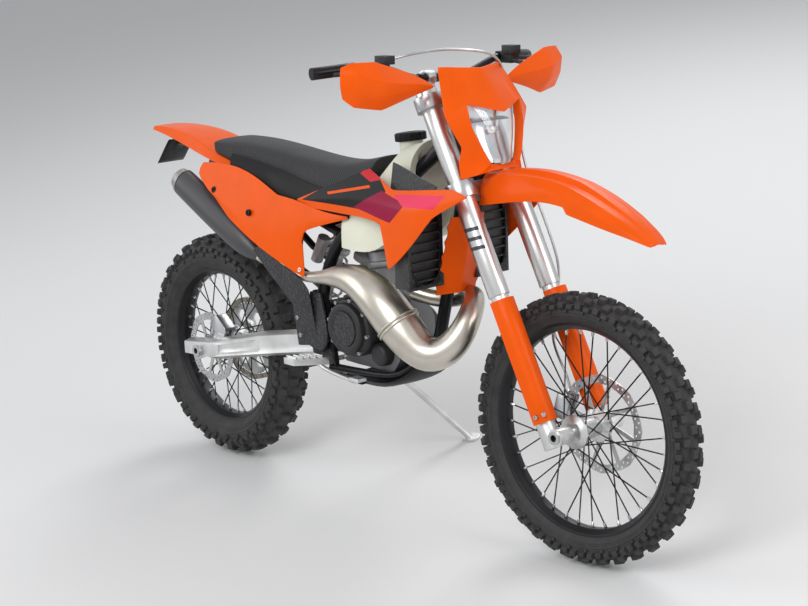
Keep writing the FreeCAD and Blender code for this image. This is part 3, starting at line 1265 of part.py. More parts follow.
def triple_clamps():
    """Both clamps on their stem, with the bar's risers."""
    bar = bar_centre()
    ring = cylinder(bar - Y_AXIS * (RISER_Y + RISER_HALF), bar - Y_AXIS * (RISER_Y - RISER_HALF), RISER_RADIUS)
    post = tube([on_axis(UPPER_CLAMP[1] - CAP_DEPTH, 0, -RISER_Y), on_axis(BAR_LEVEL - CAP_DEPTH, 0, -RISER_Y)],
                RISER_POST_RADIUS)
    riser = fused([ring, post])
    stem = turned(on_axis(LOWER_CLAMP[0] + HEAD_TUBE_PLAY), on_axis(UPPER_CLAMP[1] - HEAD_TUBE_PLAY), STEM_RADIUS)
    whole = fused([clamp(*UPPER_CLAMP), clamp(*LOWER_CLAMP), stem, riser, mirrored(riser)])
    tube_hole = cylinder(on_axis(LOWER_CLAMP[0] - OVERRUN, CLAMP_OFFSET, -FORK_Y),
                         on_axis(TUBE_TOP + OVERRUN, CLAMP_OFFSET, -FORK_Y), OUTER_TUBE_RADIUS, WIDE_SIDES)
    bar_hole = cylinder(bar - Y_AXIS * BAR_CENTRE_HALF, bar + Y_AXIS * BAR_CENTRE_HALF, BAR_CENTRE_RADIUS)
    return whole.cut([tube_hole, mirrored(tube_hole), bar_hole])


def fork_tubes():
    """The thick upper tubes with their caps."""
    tubes = []
    for side in (-FORK_Y, FORK_Y):
        tube_solid = pipe(on_axis(TUBE_BOTTOM, CLAMP_OFFSET, side), on_axis(TUBE_TOP, CLAMP_OFFSET, side),
                          OUTER_TUBE_RADIUS, INNER_TUBE_RADIUS)
        cap = cylinder(on_axis(TUBE_TOP - CAP_DEPTH, CLAMP_OFFSET, side), on_axis(TUBE_TOP, CLAMP_OFFSET, side),
                       INNER_TUBE_RADIUS, WIDE_SIDES)
        tubes.append(fused([tube_solid, cap]))
    return Part.Compound(tubes)


def fork_legs():
    """The sliding legs with the lugs that hold the axle."""
    legs = []
    for side in (-1, 1):
        y = side * FORK_Y
        leg = cylinder(on_axis(LUG_TOP - CAP_DEPTH, CLAMP_OFFSET, y), on_axis(LEG_TOP, CLAMP_OFFSET, y),
                       INNER_TUBE_RADIUS - GAP, WIDE_SIDES)
        lug = cylinder(on_axis(LEG_BOTTOM, CLAMP_OFFSET, y), on_axis(LUG_TOP, CLAMP_OFFSET, y), LUG_RADIUS, WIDE_SIDES)
        nose = cylinder(on_axis(0, STEER_OFFSET, y - AXLE_NOSE_HALF), on_axis(0, STEER_OFFSET, y + AXLE_NOSE_HALF),
                        AXLE_NOSE_RADIUS)
        legs.append(fused([leg, lug, nose]))
    hole = turned(on_axis(0, STEER_OFFSET, -2 * FORK_Y), on_axis(0, STEER_OFFSET, 2 * FORK_Y), AXLE_RADIUS)
    return Part.Compound([leg.cut(hole) for leg in legs])


GUARD_LEVEL_SHARES = (0.046, 0.120, 0.300, 0.372)
GUARD_SECTION_SHARES = ((-0.006, 0.34), (0.020, 0.33), (0.039, 0.14), (0.039, -0.12), (0.020, -0.31),
                        (-0.006, -0.32))
GUARD_WALL = 2.5
GUARD_SHIFT = 3.0
GUARD_PAD_LEVEL = 62.0


def fork_guards():
    """Guards in front of the lower legs, each on a pad from its lug."""
    guards = []
    section = [(out * CHASSIS_LENGTH, wide * CHASSIS_HALF) for out, wide in GUARD_SECTION_SHARES]
    nose = section[2][0]
    for side in (-1, 1):
        rings = []
        for share in GUARD_LEVEL_SHARES:
            up = share * CHASSIS_LENGTH
            outer = [on_axis(up, CLAMP_OFFSET + out, side * (FORK_Y + GUARD_SHIFT + wide)) for out, wide in section]
            inner = [on_axis(up, CLAMP_OFFSET + min(out, nose - GUARD_WALL),
                             side * (FORK_Y + GUARD_SHIFT + wide - math.copysign(GUARD_WALL, wide)))
                     for out, wide in reversed(section)]
            rings.append(outer + inner)
        shell = stacked(rings)
        lug = cylinder(on_axis(LEG_BOTTOM, CLAMP_OFFSET, side * FORK_Y), on_axis(LUG_TOP, CLAMP_OFFSET, side * FORK_Y),
                       LUG_RADIUS, WIDE_SIDES)
        front = CLAMP_OFFSET + nose - GUARD_WALL / 2
        pad = peg(on_axis(GUARD_PAD_LEVEL, CLAMP_OFFSET, side * FORK_Y),
                  on_axis(GUARD_PAD_LEVEL, front, side * FORK_Y), PEG_RADIUS, lug)
        guards.append(fused([shell, pad]))
    return Part.Compound(guards)


AXLE_END = 30.0
AXLE_HEAD_RADIUS = 17.0


def front_axle():
    """The hollow front axle with its head."""
    reach = FORK_Y + AXLE_END
    spindle = turned(on_axis(0, STEER_OFFSET, -reach), on_axis(0, STEER_OFFSET, reach), AXLE_RADIUS)
    head = cylinder(on_axis(0, STEER_OFFSET, -reach), on_axis(0, STEER_OFFSET, -FORK_Y - AXLE_NOSE_HALF - GAP),
                    AXLE_HEAD_RADIUS)
    hole = turned(on_axis(0, STEER_OFFSET, -2 * reach), on_axis(0, STEER_OFFSET, 2 * reach), AXLE_BORE)
    return fused([spindle, head]).cut(hole)


FENDER_SHARES = [(0.074, -0.010, 0.026, 0.56), (0.120, -0.008, 0.056, 0.64), (0.1675, -0.009, 0.065, 0.70),
                 (0.2675, -0.015, 0.063, 0.76), (0.3675, -0.035, 0.043, 0.82), (0.430, -0.048, 0.020, 0.82),
                 (0.480, -0.060, -0.010, 0.72), (0.540, -0.082, -0.060, 0.40)]
FENDER_PROFILE_SHARES = [(-1.0, 0.0), (-0.84, 0.48), (-0.54, 0.88), (-0.36, 0.82), (0.0, 1.0), (0.36, 0.82),
                         (0.54, 0.88), (0.84, 0.48), (1.0, 0.0)]
FENDER_SEAT_HALF = 52.0
FENDER_SEAT_DEPTH = 22.0


def front_fender():
    """The long front fender: a grooved arch from its seat under the lower clamp."""
    front = CLAMP_OFFSET + WEB_FRONT
    level = LOWER_CLAMP[0] - GAP
    rings = []
    for out in (-WEB_BACK, front):
        crown = on_axis(level, out)
        edge = crown - V(0, 0, FENDER_SEAT_DEPTH)
        outer = [edge + V(0, side * FENDER_SEAT_HALF, min(rise, FENDER_SEAT_RISE_SHARE) * FENDER_SEAT_DEPTH)
                 for side, rise in FENDER_PROFILE_SHARES]
        rings.append(outer + arch_inside(outer, edge))
    for along, edge, crown, half in FENDER_SHARES:
        outer = [front_spot(along, side * half, edge + rise * (crown - edge)) for side, rise in FENDER_PROFILE_SHARES]
        rings.append(outer + arch_inside(outer, front_spot(along, 0, edge)))
    ring = cylinder(on_axis(LOWER_CLAMP[0] - OVERRUN, CLAMP_OFFSET, -FORK_Y),
                    on_axis(LOWER_CLAMP[1] + OVERRUN, CLAMP_OFFSET, -FORK_Y),
                    OUTER_TUBE_RADIUS + CLAMP_WALL + SKIN, WIDE_SIDES)
    return largest(stacked(rings).cut([ring, mirrored(ring)]))


FENDER_SEAT_RISE_SHARE = 0.98


def arch_inside(outer, centre):
    """The inner corners of an arch's section, one skin in from the outer ones."""
    inner = []
    for corner in reversed(outer):
        inward = centre.y - corner.y
        step = math.copysign(min(SKIN, abs(inward)), inward) if inward else 0.0
        drop = SKIN if corner.z - centre.z > SKIN else 0.0
        inner.append(corner + V(0, step, -drop))
    return inner


MASK_SHARES = [(0.073, 0.072, 0.018, 0.60), (0.127, 0.104, 0.028, 0.96), (0.207, 0.084, 0.018, 1.18),
               (0.257, 0.034, -0.014, 1.22), (0.327, -0.028, -0.066, 1.00)]
MASK_DISH = 8.0
MASK_HALF_SHARE = 0.5
WINDOW_SHARES = [(-0.14, 0.085), (0.14, 0.085), (0.62, 0.205), (0.0, 0.195), (-0.62, 0.205)]
WINDOW_REACH_SHARES = (-0.032, 0.168)
STRAP_SHARES = [(-0.020, -1.08, 0.118), (0.036, -0.90, 0.146)]


def headlight_mask():
    """The headlight surround: plate above, cheeks at the sides, open for the lamp, with fork straps."""
    rings = []
    for up, middle, edge, half in MASK_SHARES:
        outer = [front_spot(edge, -half, up), front_spot(middle, -MASK_HALF_SHARE * half, up) - V(MASK_DISH, 0, 0),
                 front_spot(middle, 0, up), front_spot(middle, MASK_HALF_SHARE * half, up) - V(MASK_DISH, 0, 0),
                 front_spot(edge, half, up)]
        inner = [outer[4] - V(0, SKIN, 0), outer[3] - V(SKIN, 0, 0), outer[2] - V(SKIN, 0, 0),
                 outer[1] - V(SKIN, 0, 0), outer[0] + V(0, SKIN, 0)]
        rings.append(outer + inner)
    window = stacked([[front_spot(ahead, side, up) for side, up in WINDOW_SHARES] for ahead in WINDOW_REACH_SHARES])
    fork = cylinder(on_axis(LOWER_CLAMP[1], CLAMP_OFFSET, -FORK_Y), on_axis(TUBE_TOP, CLAMP_OFFSET, -FORK_Y),
                    OUTER_TUBE_RADIUS + GAP, WIDE_SIDES)
    strap = largest(block(front_spot(*STRAP_SHARES[0]), front_spot(*STRAP_SHARES[1])).cut(fork))
    return fused([stacked(rings).cut(window), strap, mirrored(strap)])


LAMP_SHARES = [(0.008, 0.7), (0.064, 1.0), (0.082, 0.92)]
LAMP_OUTLINE_SHARES = [(0.18, 0.089), (0.60, 0.192), (-0.60, 0.192), (-0.18, 0.089)]


def headlight(mask):
    """The lamp unit, seated in the mask's opening."""
    rings = []
    for ahead, size in LAMP_SHARES:
        rings.append([front_spot(ahead, side * size, up) for side, up in LAMP_OUTLINE_SHARES])
    return largest(stacked(rings).cut(mask))


def bar_line():
    """The right half of the bar's line: its centre, two bends and its end."""
    bar = bar_centre()
    bend = V(0, -BAR_BEND_Y, BAR_RISE)
    end = V(-BAR_SWEEP, -BAR_HALF, BAR_RISE - BAR_DROP)
    first = V(0, -BAR_STRAIGHT, 0)
    soft = BAR_SOFTEN_SHARE
    return [bar, bar + first * (1 - soft), bar + first + (bend - first) * soft, bar + bend - (bend - first) * soft,
            bar + bend + (end - bend) * soft, bar + end]


BAR_SOFTEN_SHARE = 0.18


def handlebar():
    """The bar: straight in its clamps, raised, swept back and gripped at the ends."""
    line = bar_line()
    end, inner = line[-1], line[-2]
    grip = cylinder(end, end + V(inner - end).normalize() * GRIP_LENGTH, GRIP_RADIUS)
    right = fused([tube(line, BAR_RADIUS), grip])
    centre = cylinder(line[0] - Y_AXIS * BAR_CENTRE_HALF, line[0] + Y_AXIS * BAR_CENTRE_HALF, BAR_CENTRE_RADIUS)
    return fused([right, mirrored(right), centre])


GUARD_FACE_SHARES = [(-0.25, -0.078), (0.75, -0.032), (2.25, 0.0)]
GUARD_HEIGHT_SHARES = [(-0.030, 0.217), (0.0, 0.292), (-0.026, 0.373)]
GUARD_OUTLINE_SHARES = [(0.00, 0.253), (-0.09, 0.339), (0.07, 0.347), (1.15, 0.357), (1.69, 0.341),
                        (2.08, 0.281), (1.05, 0.232)]
GUARD_FRONT_SHARES = (-0.300, 0.300)


def hand_guards():
    """The hand guards in front of the grips: bent plates with a crease."""
    rings = []
    for side, ahead in GUARD_FACE_SHARES:
        outer = [grip_spot(ahead + lead, side, up) for lead, up in GUARD_HEIGHT_SHARES]
        rings.append(outer + [place - V(SKIN, 0, 0) for place in reversed(outer)])
    corners = [grip_spot(GUARD_FRONT_SHARES[0], side, up) for side, up in GUARD_OUTLINE_SHARES]
    cutter = polygon_face(corners).extrude(spot(GUARD_FRONT_SHARES[1] - GUARD_FRONT_SHARES[0], 0, 0))
    return both_sides(largest(stacked(rings).common(cutter)))


PERCH_SHARES = [(-0.158, 1.43, 0.309), (-0.102, 1.77, 0.339)]
RESERVOIR_SHARES = [(-0.128, 1.49, 0.335), (-0.092, 1.85, 0.357)]
LEVER_BLADE_SHARES = [(-0.112, 1.61, 0.323), (-0.104, 1.15, 0.320), (-0.146, 0.25, 0.316)]
LEVER_BLADE_RADIUS = 6.0
STAY_SHARES = [(-0.110, 1.69, 0.318), (-0.050, 1.75, 0.312), (0.0, 1.71, 0.300)]
STAY_RADIUS = 6.5


def bar_controls(guards):
    """Lever perches with their fluid boxes, the levers, and the stays that carry the hand guards."""
    perch = block(*[grip_spot(*place) for place in PERCH_SHARES])
    fluid_box = block(*[grip_spot(*place) for place in RESERVOIR_SHARES])
    lever = tube([grip_spot(*place) for place in LEVER_BLADE_SHARES], LEVER_BLADE_RADIUS, PEG_SIDES)
    stay = tube([grip_spot(*place) for place in STAY_SHARES], STAY_RADIUS, PEG_SIDES)
    bar_room = tube(bar_line(), BAR_RADIUS + GAP)
    right = largest(fused([perch, fluid_box, lever, stay]).cut([bar_room, guards]))
    return both_sides(right)


FRONT_CALIPER_TURN = -75.0
FRONT_CALIPER_BACK = 117.0
FRONT_CALIPER_RISE = 31.0


def front_caliper():
    """Behind the left leg, astride the disc."""
    body = caliper(FRONT_DISC_Y)
    body.rotate(V(0, 0, 0), Y_AXIS, FRONT_CALIPER_TURN)
    body.translate(FRONT_AXLE + V(-FRONT_CALIPER_BACK, 0, FRONT_CALIPER_RISE))
    return body


HOSE_RADIUS = 3.5
HOSE_SIDES = 5
HOSE_RUN_SHARE = 0.45
HOSE_SHARES = [(-0.11, -2.19, 0.346), (-0.1, -1.78, 0.354), (-0.068, -1.38, 0.363), (-0.034, -0.92, 0.368),
               (-0.002, -0.42, 0.364), (0.002, 0.1, 0.356), (-0.008, 0.6, 0.342), (-0.028, 1.04, 0.322),
               (-0.046, 1.36, 0.29), (-0.044, 1.5, 0.246), (-0.022, 1.5, 0.194), (0.01, 1.33, 0.147),
               (0.034, 1.18, 0.092), (0.058, 1.14, 0.036), (0.082, 1.15, -0.018), (0.104, 1.22, -0.072),
               (0.122, 1.32, -0.128), (0.136, 1.42, -0.186), (0.14, 1.44, -0.24), (0.136, 1.3, -0.292),
               (0.142, 1.12, -0.342), (0.16, 0.94, -0.39), (0.188, 0.84, -0.43), (0.218, 0.78, -0.464),
               (0.2375, 0.74, -0.5045)]


def hose_path(corners):
    """Straight runs joined by arcs as large as their runs allow."""
    edges = []
    start = corners[0]
    least = None
    for before, corner, after in zip(corners, corners[1:], corners[2:]):
        inward = V(before - corner)
        onward = V(after - corner)
        run = min(inward.Length, onward.Length)
        inward.normalize()
        onward.normalize()
        half = inward.getAngle(onward) / 2
        reach = HOSE_RUN_SHARE * run
        bend = reach * math.tan(half)
        least = bend if least is None else min(least, bend)
        middle = V(inward + onward).normalize() * (bend / math.sin(half) - bend)
        first = corner + inward * reach
        last = corner + onward * reach
        edges.append(Part.LineSegment(start, first).toShape())
        edges.append(Part.Arc(first, corner + middle, last).toShape())
        start = last
    edges.append(Part.LineSegment(start, corners[-1]).toShape())
    print("hose: smallest radius", round(least, 1), "of", 2 * HOSE_RADIUS, "across")
    return Part.Wire(edges)


def brake_hose(carrier):
    """The front brake's hose, from the lever's fluid box round the left leg to its caliper."""
    corners = [front_spot(*place) for place in HOSE_SHARES]
    path = hose_path(corners)
    section = rings_along(corners[:2], [HOSE_RADIUS] * 2, HOSE_SIDES)[0]
    hose = path.makePipeShell([Part.makePolygon(section + section[:1])], True, True)
    hose = Part.Solid(hose.Shells[0])
    print("hose: volume over section times length", round(
        hose.Volume / (Part.Face(Part.makePolygon(section + section[:1])).Area * path.Length), 4))
    return hose


# The stand

def stand_axis(placement):
    """The stand's hinge in the parked frame: its place, its axis and the angle to its stowed place."""
    top = placement.multVec(spot(*STAND_PIVOT_SHARES))
    foot = V(top.x + STAND_REACH_X, top.y + STAND_REACH_Y, 0)
    down = V(foot - top).normalize()
    stowed = placement.Rotation.multVec(V(*STAND_STOWED_SHARES)).normalize()
    axis = V(down.cross(stowed)).normalize()
    return top, foot, axis, math.degrees(down.getAngle(stowed))


def side_stand(placement):
    """The stand as parked: an eye on its pin, the leg, and a foot flat on the ground."""
    top, foot, axis, angle = stand_axis(placement)
    pad = cylinder(foot, foot + V(0, 0, STAND_FOOT_THICK), STAND_FOOT_RADIUS, WIDE_SIDES)
    leg = tube([foot, top], STAND_RADIUS)
    eye = cylinder(top - axis * STAND_EYE_HALF, top + axis * STAND_EYE_HALF, STAND_EYE_RADIUS)
    hole = turned(top - axis * 2 * STAND_EYE_HALF, top + axis * 2 * STAND_EYE_HALF, STAND_PIN_RADIUS + RUNNING)
    under = block(foot - V(2 * STAND_FOOT_RADIUS, 2 * STAND_FOOT_RADIUS, OVERRUN),
                  foot + V(2 * STAND_FOOT_RADIUS, 2 * STAND_FOOT_RADIUS, 0))
    return fused([pad, leg, eye]).cut([hole, under])


def stand_bracket(placement):
    """The pin that carries the stand, on an arm of the frame's left plate, in the parked frame."""
    top, foot, axis, angle = stand_axis(placement)
    washer_end = STAND_EYE_HALF + STAND_WASHER
    boss_end = STAND_EYE_HALF + STAND_BOSS
    pin = turned(top - axis * washer_end, top + axis * (STAND_EYE_HALF + STAND_BOSS / 2), STAND_PIN_RADIUS)
    washer = cylinder(top - axis * washer_end, top - axis * (STAND_EYE_HALF + GAP), STAND_EYE_RADIUS - SKIN / 2)
    boss = cylinder(top + axis * (STAND_EYE_HALF + GAP), top + axis * boss_end, STAND_EYE_RADIUS - SKIN / 2)
    plate_side = placement.multVec(spot(*STAND_ARM_END_SHARES))
    arm = tube([top + axis * (STAND_EYE_HALF + STAND_BOSS * STAND_ARM_SHARE), plate_side], STAND_ARM_RADIUS)
    return fused([pin, washer, boss, arm])


STAND_ARM_SHARE = 0.69


# Parking: the steering at rest, then the lean, the pitch and the drop that seat both tyres

def steering_turn():
    return FreeCAD.Placement(V(0, 0, 0), FreeCAD.Rotation(AXIS_UP, STEER_REST), AXIS_FOOT)


def corners_of(shape):
    return [vertex.Point for vertex in shape.Vertexes]


def lowest(places, placement):
    return min(placement.multVec(place).z for place in places)


def parked(rear_places, front_places):
    """The placement that leans the bike and seats both tyres on the ground."""
    pitch = 0.0
    lean = FreeCAD.Placement(V(0, 0, 0), FreeCAD.Rotation(V(1, 0, 0), -LEAN))
    for _ in range(4):
        placement = lean.multiply(FreeCAD.Placement(V(0, 0, 0), FreeCAD.Rotation(Y_AXIS, math.degrees(pitch))))
        difference = lowest(front_places, placement) - lowest(rear_places, placement)
        pitch += difference / WHEELBASE
    placement = lean.multiply(FreeCAD.Placement(V(0, 0, 0), FreeCAD.Rotation(Y_AXIS, math.degrees(pitch))))
    drop = lowest(rear_places, placement)
    return FreeCAD.Placement(V(0, 0, -drop), FreeCAD.Rotation()).multiply(placement)


def placed(shape, placement):
    copy = shape.copy()
    copy.Placement = placement.multiply(copy.Placement)
    return copy


def wheels():
    """Both wheels' pieces, on their axles."""
    front = {"front_tyre": tyre(FRONT_RADIUS, FRONT_HALF_WIDTH, FRONT_RIM_RADIUS, FRONT_RIM_HALF),
             "front_rim": rim(FRONT_RIM_RADIUS, FRONT_RIM_HALF),
             "front_hub": hub(FRONT_RIM_RADIUS, FRONT_HUB_HALF),
             "front_disc": disc(FRONT_DISC_RADIUS, FRONT_DISC_Y, FRONT_HUB_HALF)}
    rear = {"rear_tyre": tyre(REAR_RADIUS, REAR_HALF_WIDTH, REAR_RIM_RADIUS, REAR_RIM_HALF),
            "rear_rim": rim(REAR_RIM_RADIUS, REAR_RIM_HALF),
            "rear_hub": hub(REAR_RIM_RADIUS, REAR_HUB_HALF),
            "rear_disc": disc(REAR_DISC_RADIUS, REAR_DISC_Y, -REAR_HUB_HALF),
            "rear_sprocket": sprocket()}
    for parts, axle in ((front, FRONT_AXLE), (rear, REAR_AXLE)):
        for name, shape in parts.items():
            parts[name] = placed(shape, FreeCAD.Placement(axle, FreeCAD.Rotation()))
    return front, rear


def chassis_parts():
    """What the frame carries."""
    tank = fuel_tank()
    rails = subframe()
    arm = swingarm()
    skirts = shrouds(tank)
    return {"frame": frame(), "subframe": rails, "swingarm": arm, "engine_case": engine_case(),
            "engine_covers": engine_covers(), "cylinder_head": cylinder_head(), "exhaust_pipe": exhaust_pipe(),
            "silencer": silencer(), "fuel_tank": tank, "seat": seat(), "rear_fender": rear_fender(),
            "side_panels": side_panels(rails), "shrouds": skirts, "radiators": radiators(skirts),
            "radiator_guards": radiator_guards(tank), "rear_shock": rear_shock(), "skid_plate": skid_plate(),
            "frame_guards": frame_guards(), "foot_controls": foot_controls(), "chain": chain(),
            "rear_caliper": rear_caliper(arm), "rear_axle": rear_axle()}


def steering_parts():
    """What turns with the bar."""
    mask = headlight_mask()
    guards = hand_guards()
    controls = bar_controls(guards)
    return {"triple_clamps": triple_clamps(), "fork_tubes": fork_tubes(), "fork_legs": fork_legs(),
            "fork_guards": fork_guards(), "front_axle": front_axle(), "front_fender": front_fender(),
            "headlight_mask": mask, "headlight": headlight(mask), "handlebar": handlebar(),
            "hand_guards": guards, "bar_controls": controls, "front_caliper": front_caliper(),
            "brake_hose": brake_hose(controls)}


def bike():
    """Every sub-part in the parked frame, by its body, with the placements used."""
    front_wheel, rear_wheel = wheels()
    chassis = chassis_parts()
    turn = steering_turn()
    rear_places = corners_of(rear_wheel["rear_tyre"])
    front_places = [turn.multVec(place) for place in corners_of(front_wheel["front_tyre"])]
    park = parked(rear_places, front_places)
    chassis["frame"] = chassis["frame"].fuse(placed(stand_bracket(park), park.inverse()))
    steered = park.multiply(turn)
    bodies = {"chassis": {name: placed(shape, park) for name, shape in chassis.items()},
              "steering": {name: placed(shape, steered) for name, shape in steering_parts().items()},
              "front_wheel": {name: placed(shape, steered) for name, shape in front_wheel.items()},
              "rear_wheel": {name: placed(shape, park) for name, shape in rear_wheel.items()},
              "side_stand": {"side_stand": side_stand(park)}}
    return bodies, park, turn


def to_origin(bodies):
    """The shift that puts the origin under the middle of the parked bike."""
    box = FreeCAD.BoundBox()
    for parts in bodies.values():
        for shape in parts.values():
            box.add(shape.optimalBoundingBox(False))
    print("size", round(box.XLength), round(box.YLength), round(box.ZLength), "lowest", round(box.ZMin, 3))
    return V(-box.Center.x, -box.Center.y, 0)


def main():
    bodies, park, turn = bike()
    shift = to_origin(bodies)
    os.makedirs("parts", exist_ok=True)
    for parts in bodies.values():
        for name, shape in parts.items():
            shape.translate(shift)
            shape.exportStep(os.path.join("parts", name + ".step"))


if __name__ == "__main__":
    main()
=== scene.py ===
import json
import math
from collections import namedtuple

import bmesh
import bpy
from mathutils import Matrix, Quaternion, Vector


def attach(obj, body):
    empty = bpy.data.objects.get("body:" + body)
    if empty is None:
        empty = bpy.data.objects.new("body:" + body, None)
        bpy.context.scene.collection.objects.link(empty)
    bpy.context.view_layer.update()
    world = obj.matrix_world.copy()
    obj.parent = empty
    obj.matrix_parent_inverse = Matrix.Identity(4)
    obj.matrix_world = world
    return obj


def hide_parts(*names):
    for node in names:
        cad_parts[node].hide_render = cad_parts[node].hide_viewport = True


bl_info = {
    "name": "Enduro bike dressing",
    "version": (1, 0, 0),
    "blender": (4, 5, 0),
    "location": "View3D > Sidebar > Bike",
    "description": "Dresses a packed enduro bike with finishes, bodywork, tread, screws and small fittings",
    "category": "Object",
}

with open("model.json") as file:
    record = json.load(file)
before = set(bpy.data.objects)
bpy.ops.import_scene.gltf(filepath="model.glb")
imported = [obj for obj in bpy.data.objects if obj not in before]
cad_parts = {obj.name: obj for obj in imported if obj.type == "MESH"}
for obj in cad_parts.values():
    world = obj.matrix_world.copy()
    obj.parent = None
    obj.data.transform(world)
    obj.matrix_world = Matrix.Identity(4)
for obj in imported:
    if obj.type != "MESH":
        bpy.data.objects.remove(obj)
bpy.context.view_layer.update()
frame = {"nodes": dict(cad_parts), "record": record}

# The upright bike's frame: X forward, Y left, Z up, from under the rear axle. Its parts are modelled there and
# then leaned and steered as the bike is parked.

JOINT_PLACE = {joint["name"]: Vector(joint["pos_m"]) for joint in frame["record"]["behaviour"]["joints"]}
LEAN = Quaternion((-0.9961944, 0.0871557, -0.0007421, 0.0000649))
STEER = Quaternion((-0.9943342, 0.1019771, -0.0033559, -0.0298160))
REAR_AXLE = Vector((0.0, 0.0, 0.340))
FRONT_AXLE = Vector((1.482, 0.0, 0.350))
AHEAD = Vector((1.0, 0.0, 0.0))


def parked(turn, axle, joint):
    """The matrix that takes the upright bike's places to the parked ones, from an axle that both know."""
    return Matrix.Translation(JOINT_PLACE[joint]) @ turn.to_matrix().to_4x4() @ Matrix.Translation(-axle)


CHASSIS = parked(LEAN, REAR_AXLE, "rear_wheel_spin")
STEERING = parked(STEER, FRONT_AXLE, "front_wheel_spin")
CARRIER = {"chassis": CHASSIS, "side_stand": CHASSIS, "rear_wheel": CHASSIS,
           "steering": STEERING, "front_wheel": STEERING}
BODY_OF = {node: body for body, nodes in frame["record"]["behaviour"]["bodies"].items() for node in nodes}


# Modelling

def mm(place):
    """A place that is given in millimetres."""
    return Vector(place) / 1000


def alone(piece):
    """Leave edit mode, and select this piece and nothing else."""
    if bpy.context.object and bpy.context.object.mode != "OBJECT":
        bpy.ops.object.mode_set(mode="OBJECT")
    bpy.ops.object.select_all(action="DESELECT")
    piece.select_set(True)
    bpy.context.view_layer.objects.active = piece


def edit(piece, kind="VERT", action="DESELECT"):
    """Open a piece in edit mode, with nothing selected, or with all of it."""
    alone(piece)
    bpy.ops.object.mode_set(mode="EDIT")
    bpy.ops.mesh.select_mode(type=kind)
    bpy.ops.mesh.select_all(action=action)


def pick(piece, wanted):
    """Select the corners or faces whose middle the test wants, in the kind that is being edited."""
    mesh = bmesh.from_edit_mesh(piece.data)
    if "VERT" in mesh.select_mode:
        for corner in mesh.verts:
            corner.select_set(wanted(corner.co))
    else:
        for face in mesh.faces:
            face.select_set(wanted(face.calc_center_median()))
    mesh.select_flush_mode()
    bmesh.update_edit_mesh(piece.data)


def done():
    bpy.ops.object.mode_set(mode="OBJECT")


def modify(piece, kind, **settings):
    """Add a modifier, set it and apply it."""
    alone(piece)
    modifier = piece.modifiers.new(kind.lower(), kind)
    for name, value in settings.items():
        setattr(modifier, name, value)
    bpy.ops.object.modifier_apply(modifier=modifier.name)


def merge(piece, distance):
    """Make one corner of those that lie within a distance."""
    edit(piece, action="SELECT")
    bpy.ops.mesh.remove_doubles(threshold=distance)
    done()


def crease(piece, sharp, value):
    """Crease the edges that fold by more than a number of degrees."""
    edit(piece, "EDGE")
    bpy.ops.mesh.edges_select_sharp(sharpness=math.radians(sharp))
    bpy.ops.transform.edge_crease(value=value)
    done()


def subdivide(piece, levels):
    modify(piece, "SUBSURF", levels=levels, render_levels=levels)


def round_edges(piece, width, angle=35.0, segments=2):
    modify(piece, "BEVEL", width=width, segments=segments, limit_method="ANGLE",
           angle_limit=math.radians(angle))


def shade(piece, angle=35.0):
    alone(piece)
    bpy.ops.object.shade_smooth_by_angle(angle=math.radians(angle))


def seat_on(piece, body, finish, nodes=()):
    """Take a finished piece from the upright bike to the parked one, give it its finish and let it ride."""
    piece.data.transform(CARRIER[body])
    carry(piece, body, finish, nodes)


def carry(piece, body, finish, nodes=()):
    piece.data.materials.clear()
    piece.data.materials.append(finish_named(finish))
    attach(piece, body)
    if nodes:
        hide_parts(*nodes)


def joined(pieces, name):
    """Several pieces made one."""
    alone(pieces[0])
    for piece in pieces:
        piece.select_set(True)
    bpy.ops.object.join()
    pieces[0].name = name
    return pieces[0]


def copied(piece, places, name):
    """A copy of a piece at each place, each with its own mesh, made one; the first one is used up."""
    twins = []
    for place in places:
        twin = piece.copy()
        twin.data = piece.data.copy()
        twin.data.transform(place)
        bpy.context.scene.collection.objects.link(twin)
        twins.append(twin)
    bpy.data.objects.remove(piece)
    return joined(twins, name)


def primitive(add, **settings):
    """Add a primitive with nothing else selected, and move its place into its mesh."""
    bpy.ops.object.select_all(action="DESELECT")
    add(**settings)
    piece = bpy.context.object
    alone(piece)
    bpy.ops.object.transform_apply()
    return piece


def lathe(name, section, count, closed=True):
    """Turn a section of (radius, side) corners about the Y axis, one ring extruded from the last."""
    radius, side = section[0]
    piece = primitive(bpy.ops.mesh.primitive_circle_add, vertices=count, radius=radius, location=(0, side, 0),
                      rotation=(math.pi / 2, 0, 0))
    piece.name = name
    edit(piece, "EDGE", "SELECT")
    for wide, place in section[1:] + ([section[0]] if closed else []):
        bpy.ops.mesh.extrude_edges_move(TRANSFORM_OT_translate={"value": (0, place - side, 0)})
        bpy.ops.transform.resize(value=(wide / radius, 1, wide / radius), center_override=(0, place, 0))
        radius, side = wide, place
    bpy.ops.mesh.select_all(action="SELECT")
    bpy.ops.mesh.remove_doubles(threshold=0.00015)
    bpy.ops.mesh.normals_make_consistent(inside=False)
    done()
    return piece


# Stands what the lathe turned, about Y, along Z
TO_Z = Matrix.Rotation(math.pi / 2, 4, "X")


def sheet_of(name, rows):
    """A grid whose corners are moved to rows of places, given in millimetres on the upright bike."""
    piece = primitive(bpy.ops.mesh.primitive_grid_add, x_subdivisions=len(rows[0]) - 1,
                      y_subdivisions=len(rows) - 1, size=1.0)
    piece.name = name
    places = [mm(place) for row in rows for place in row]
    for corner, place in zip(piece.data.vertices, places):
        corner.co = place
    merge(piece, 0.0004)
    return piece


def face_out(piece, way):
    """Turn the faces over if most of them point away from a way out."""
    if sum(face.normal.dot(Vector(way)) * face.area for face in piece.data.polygons) < 0:
        edit(piece, action="SELECT")
        bpy.ops.mesh.flip_normals()
        done()


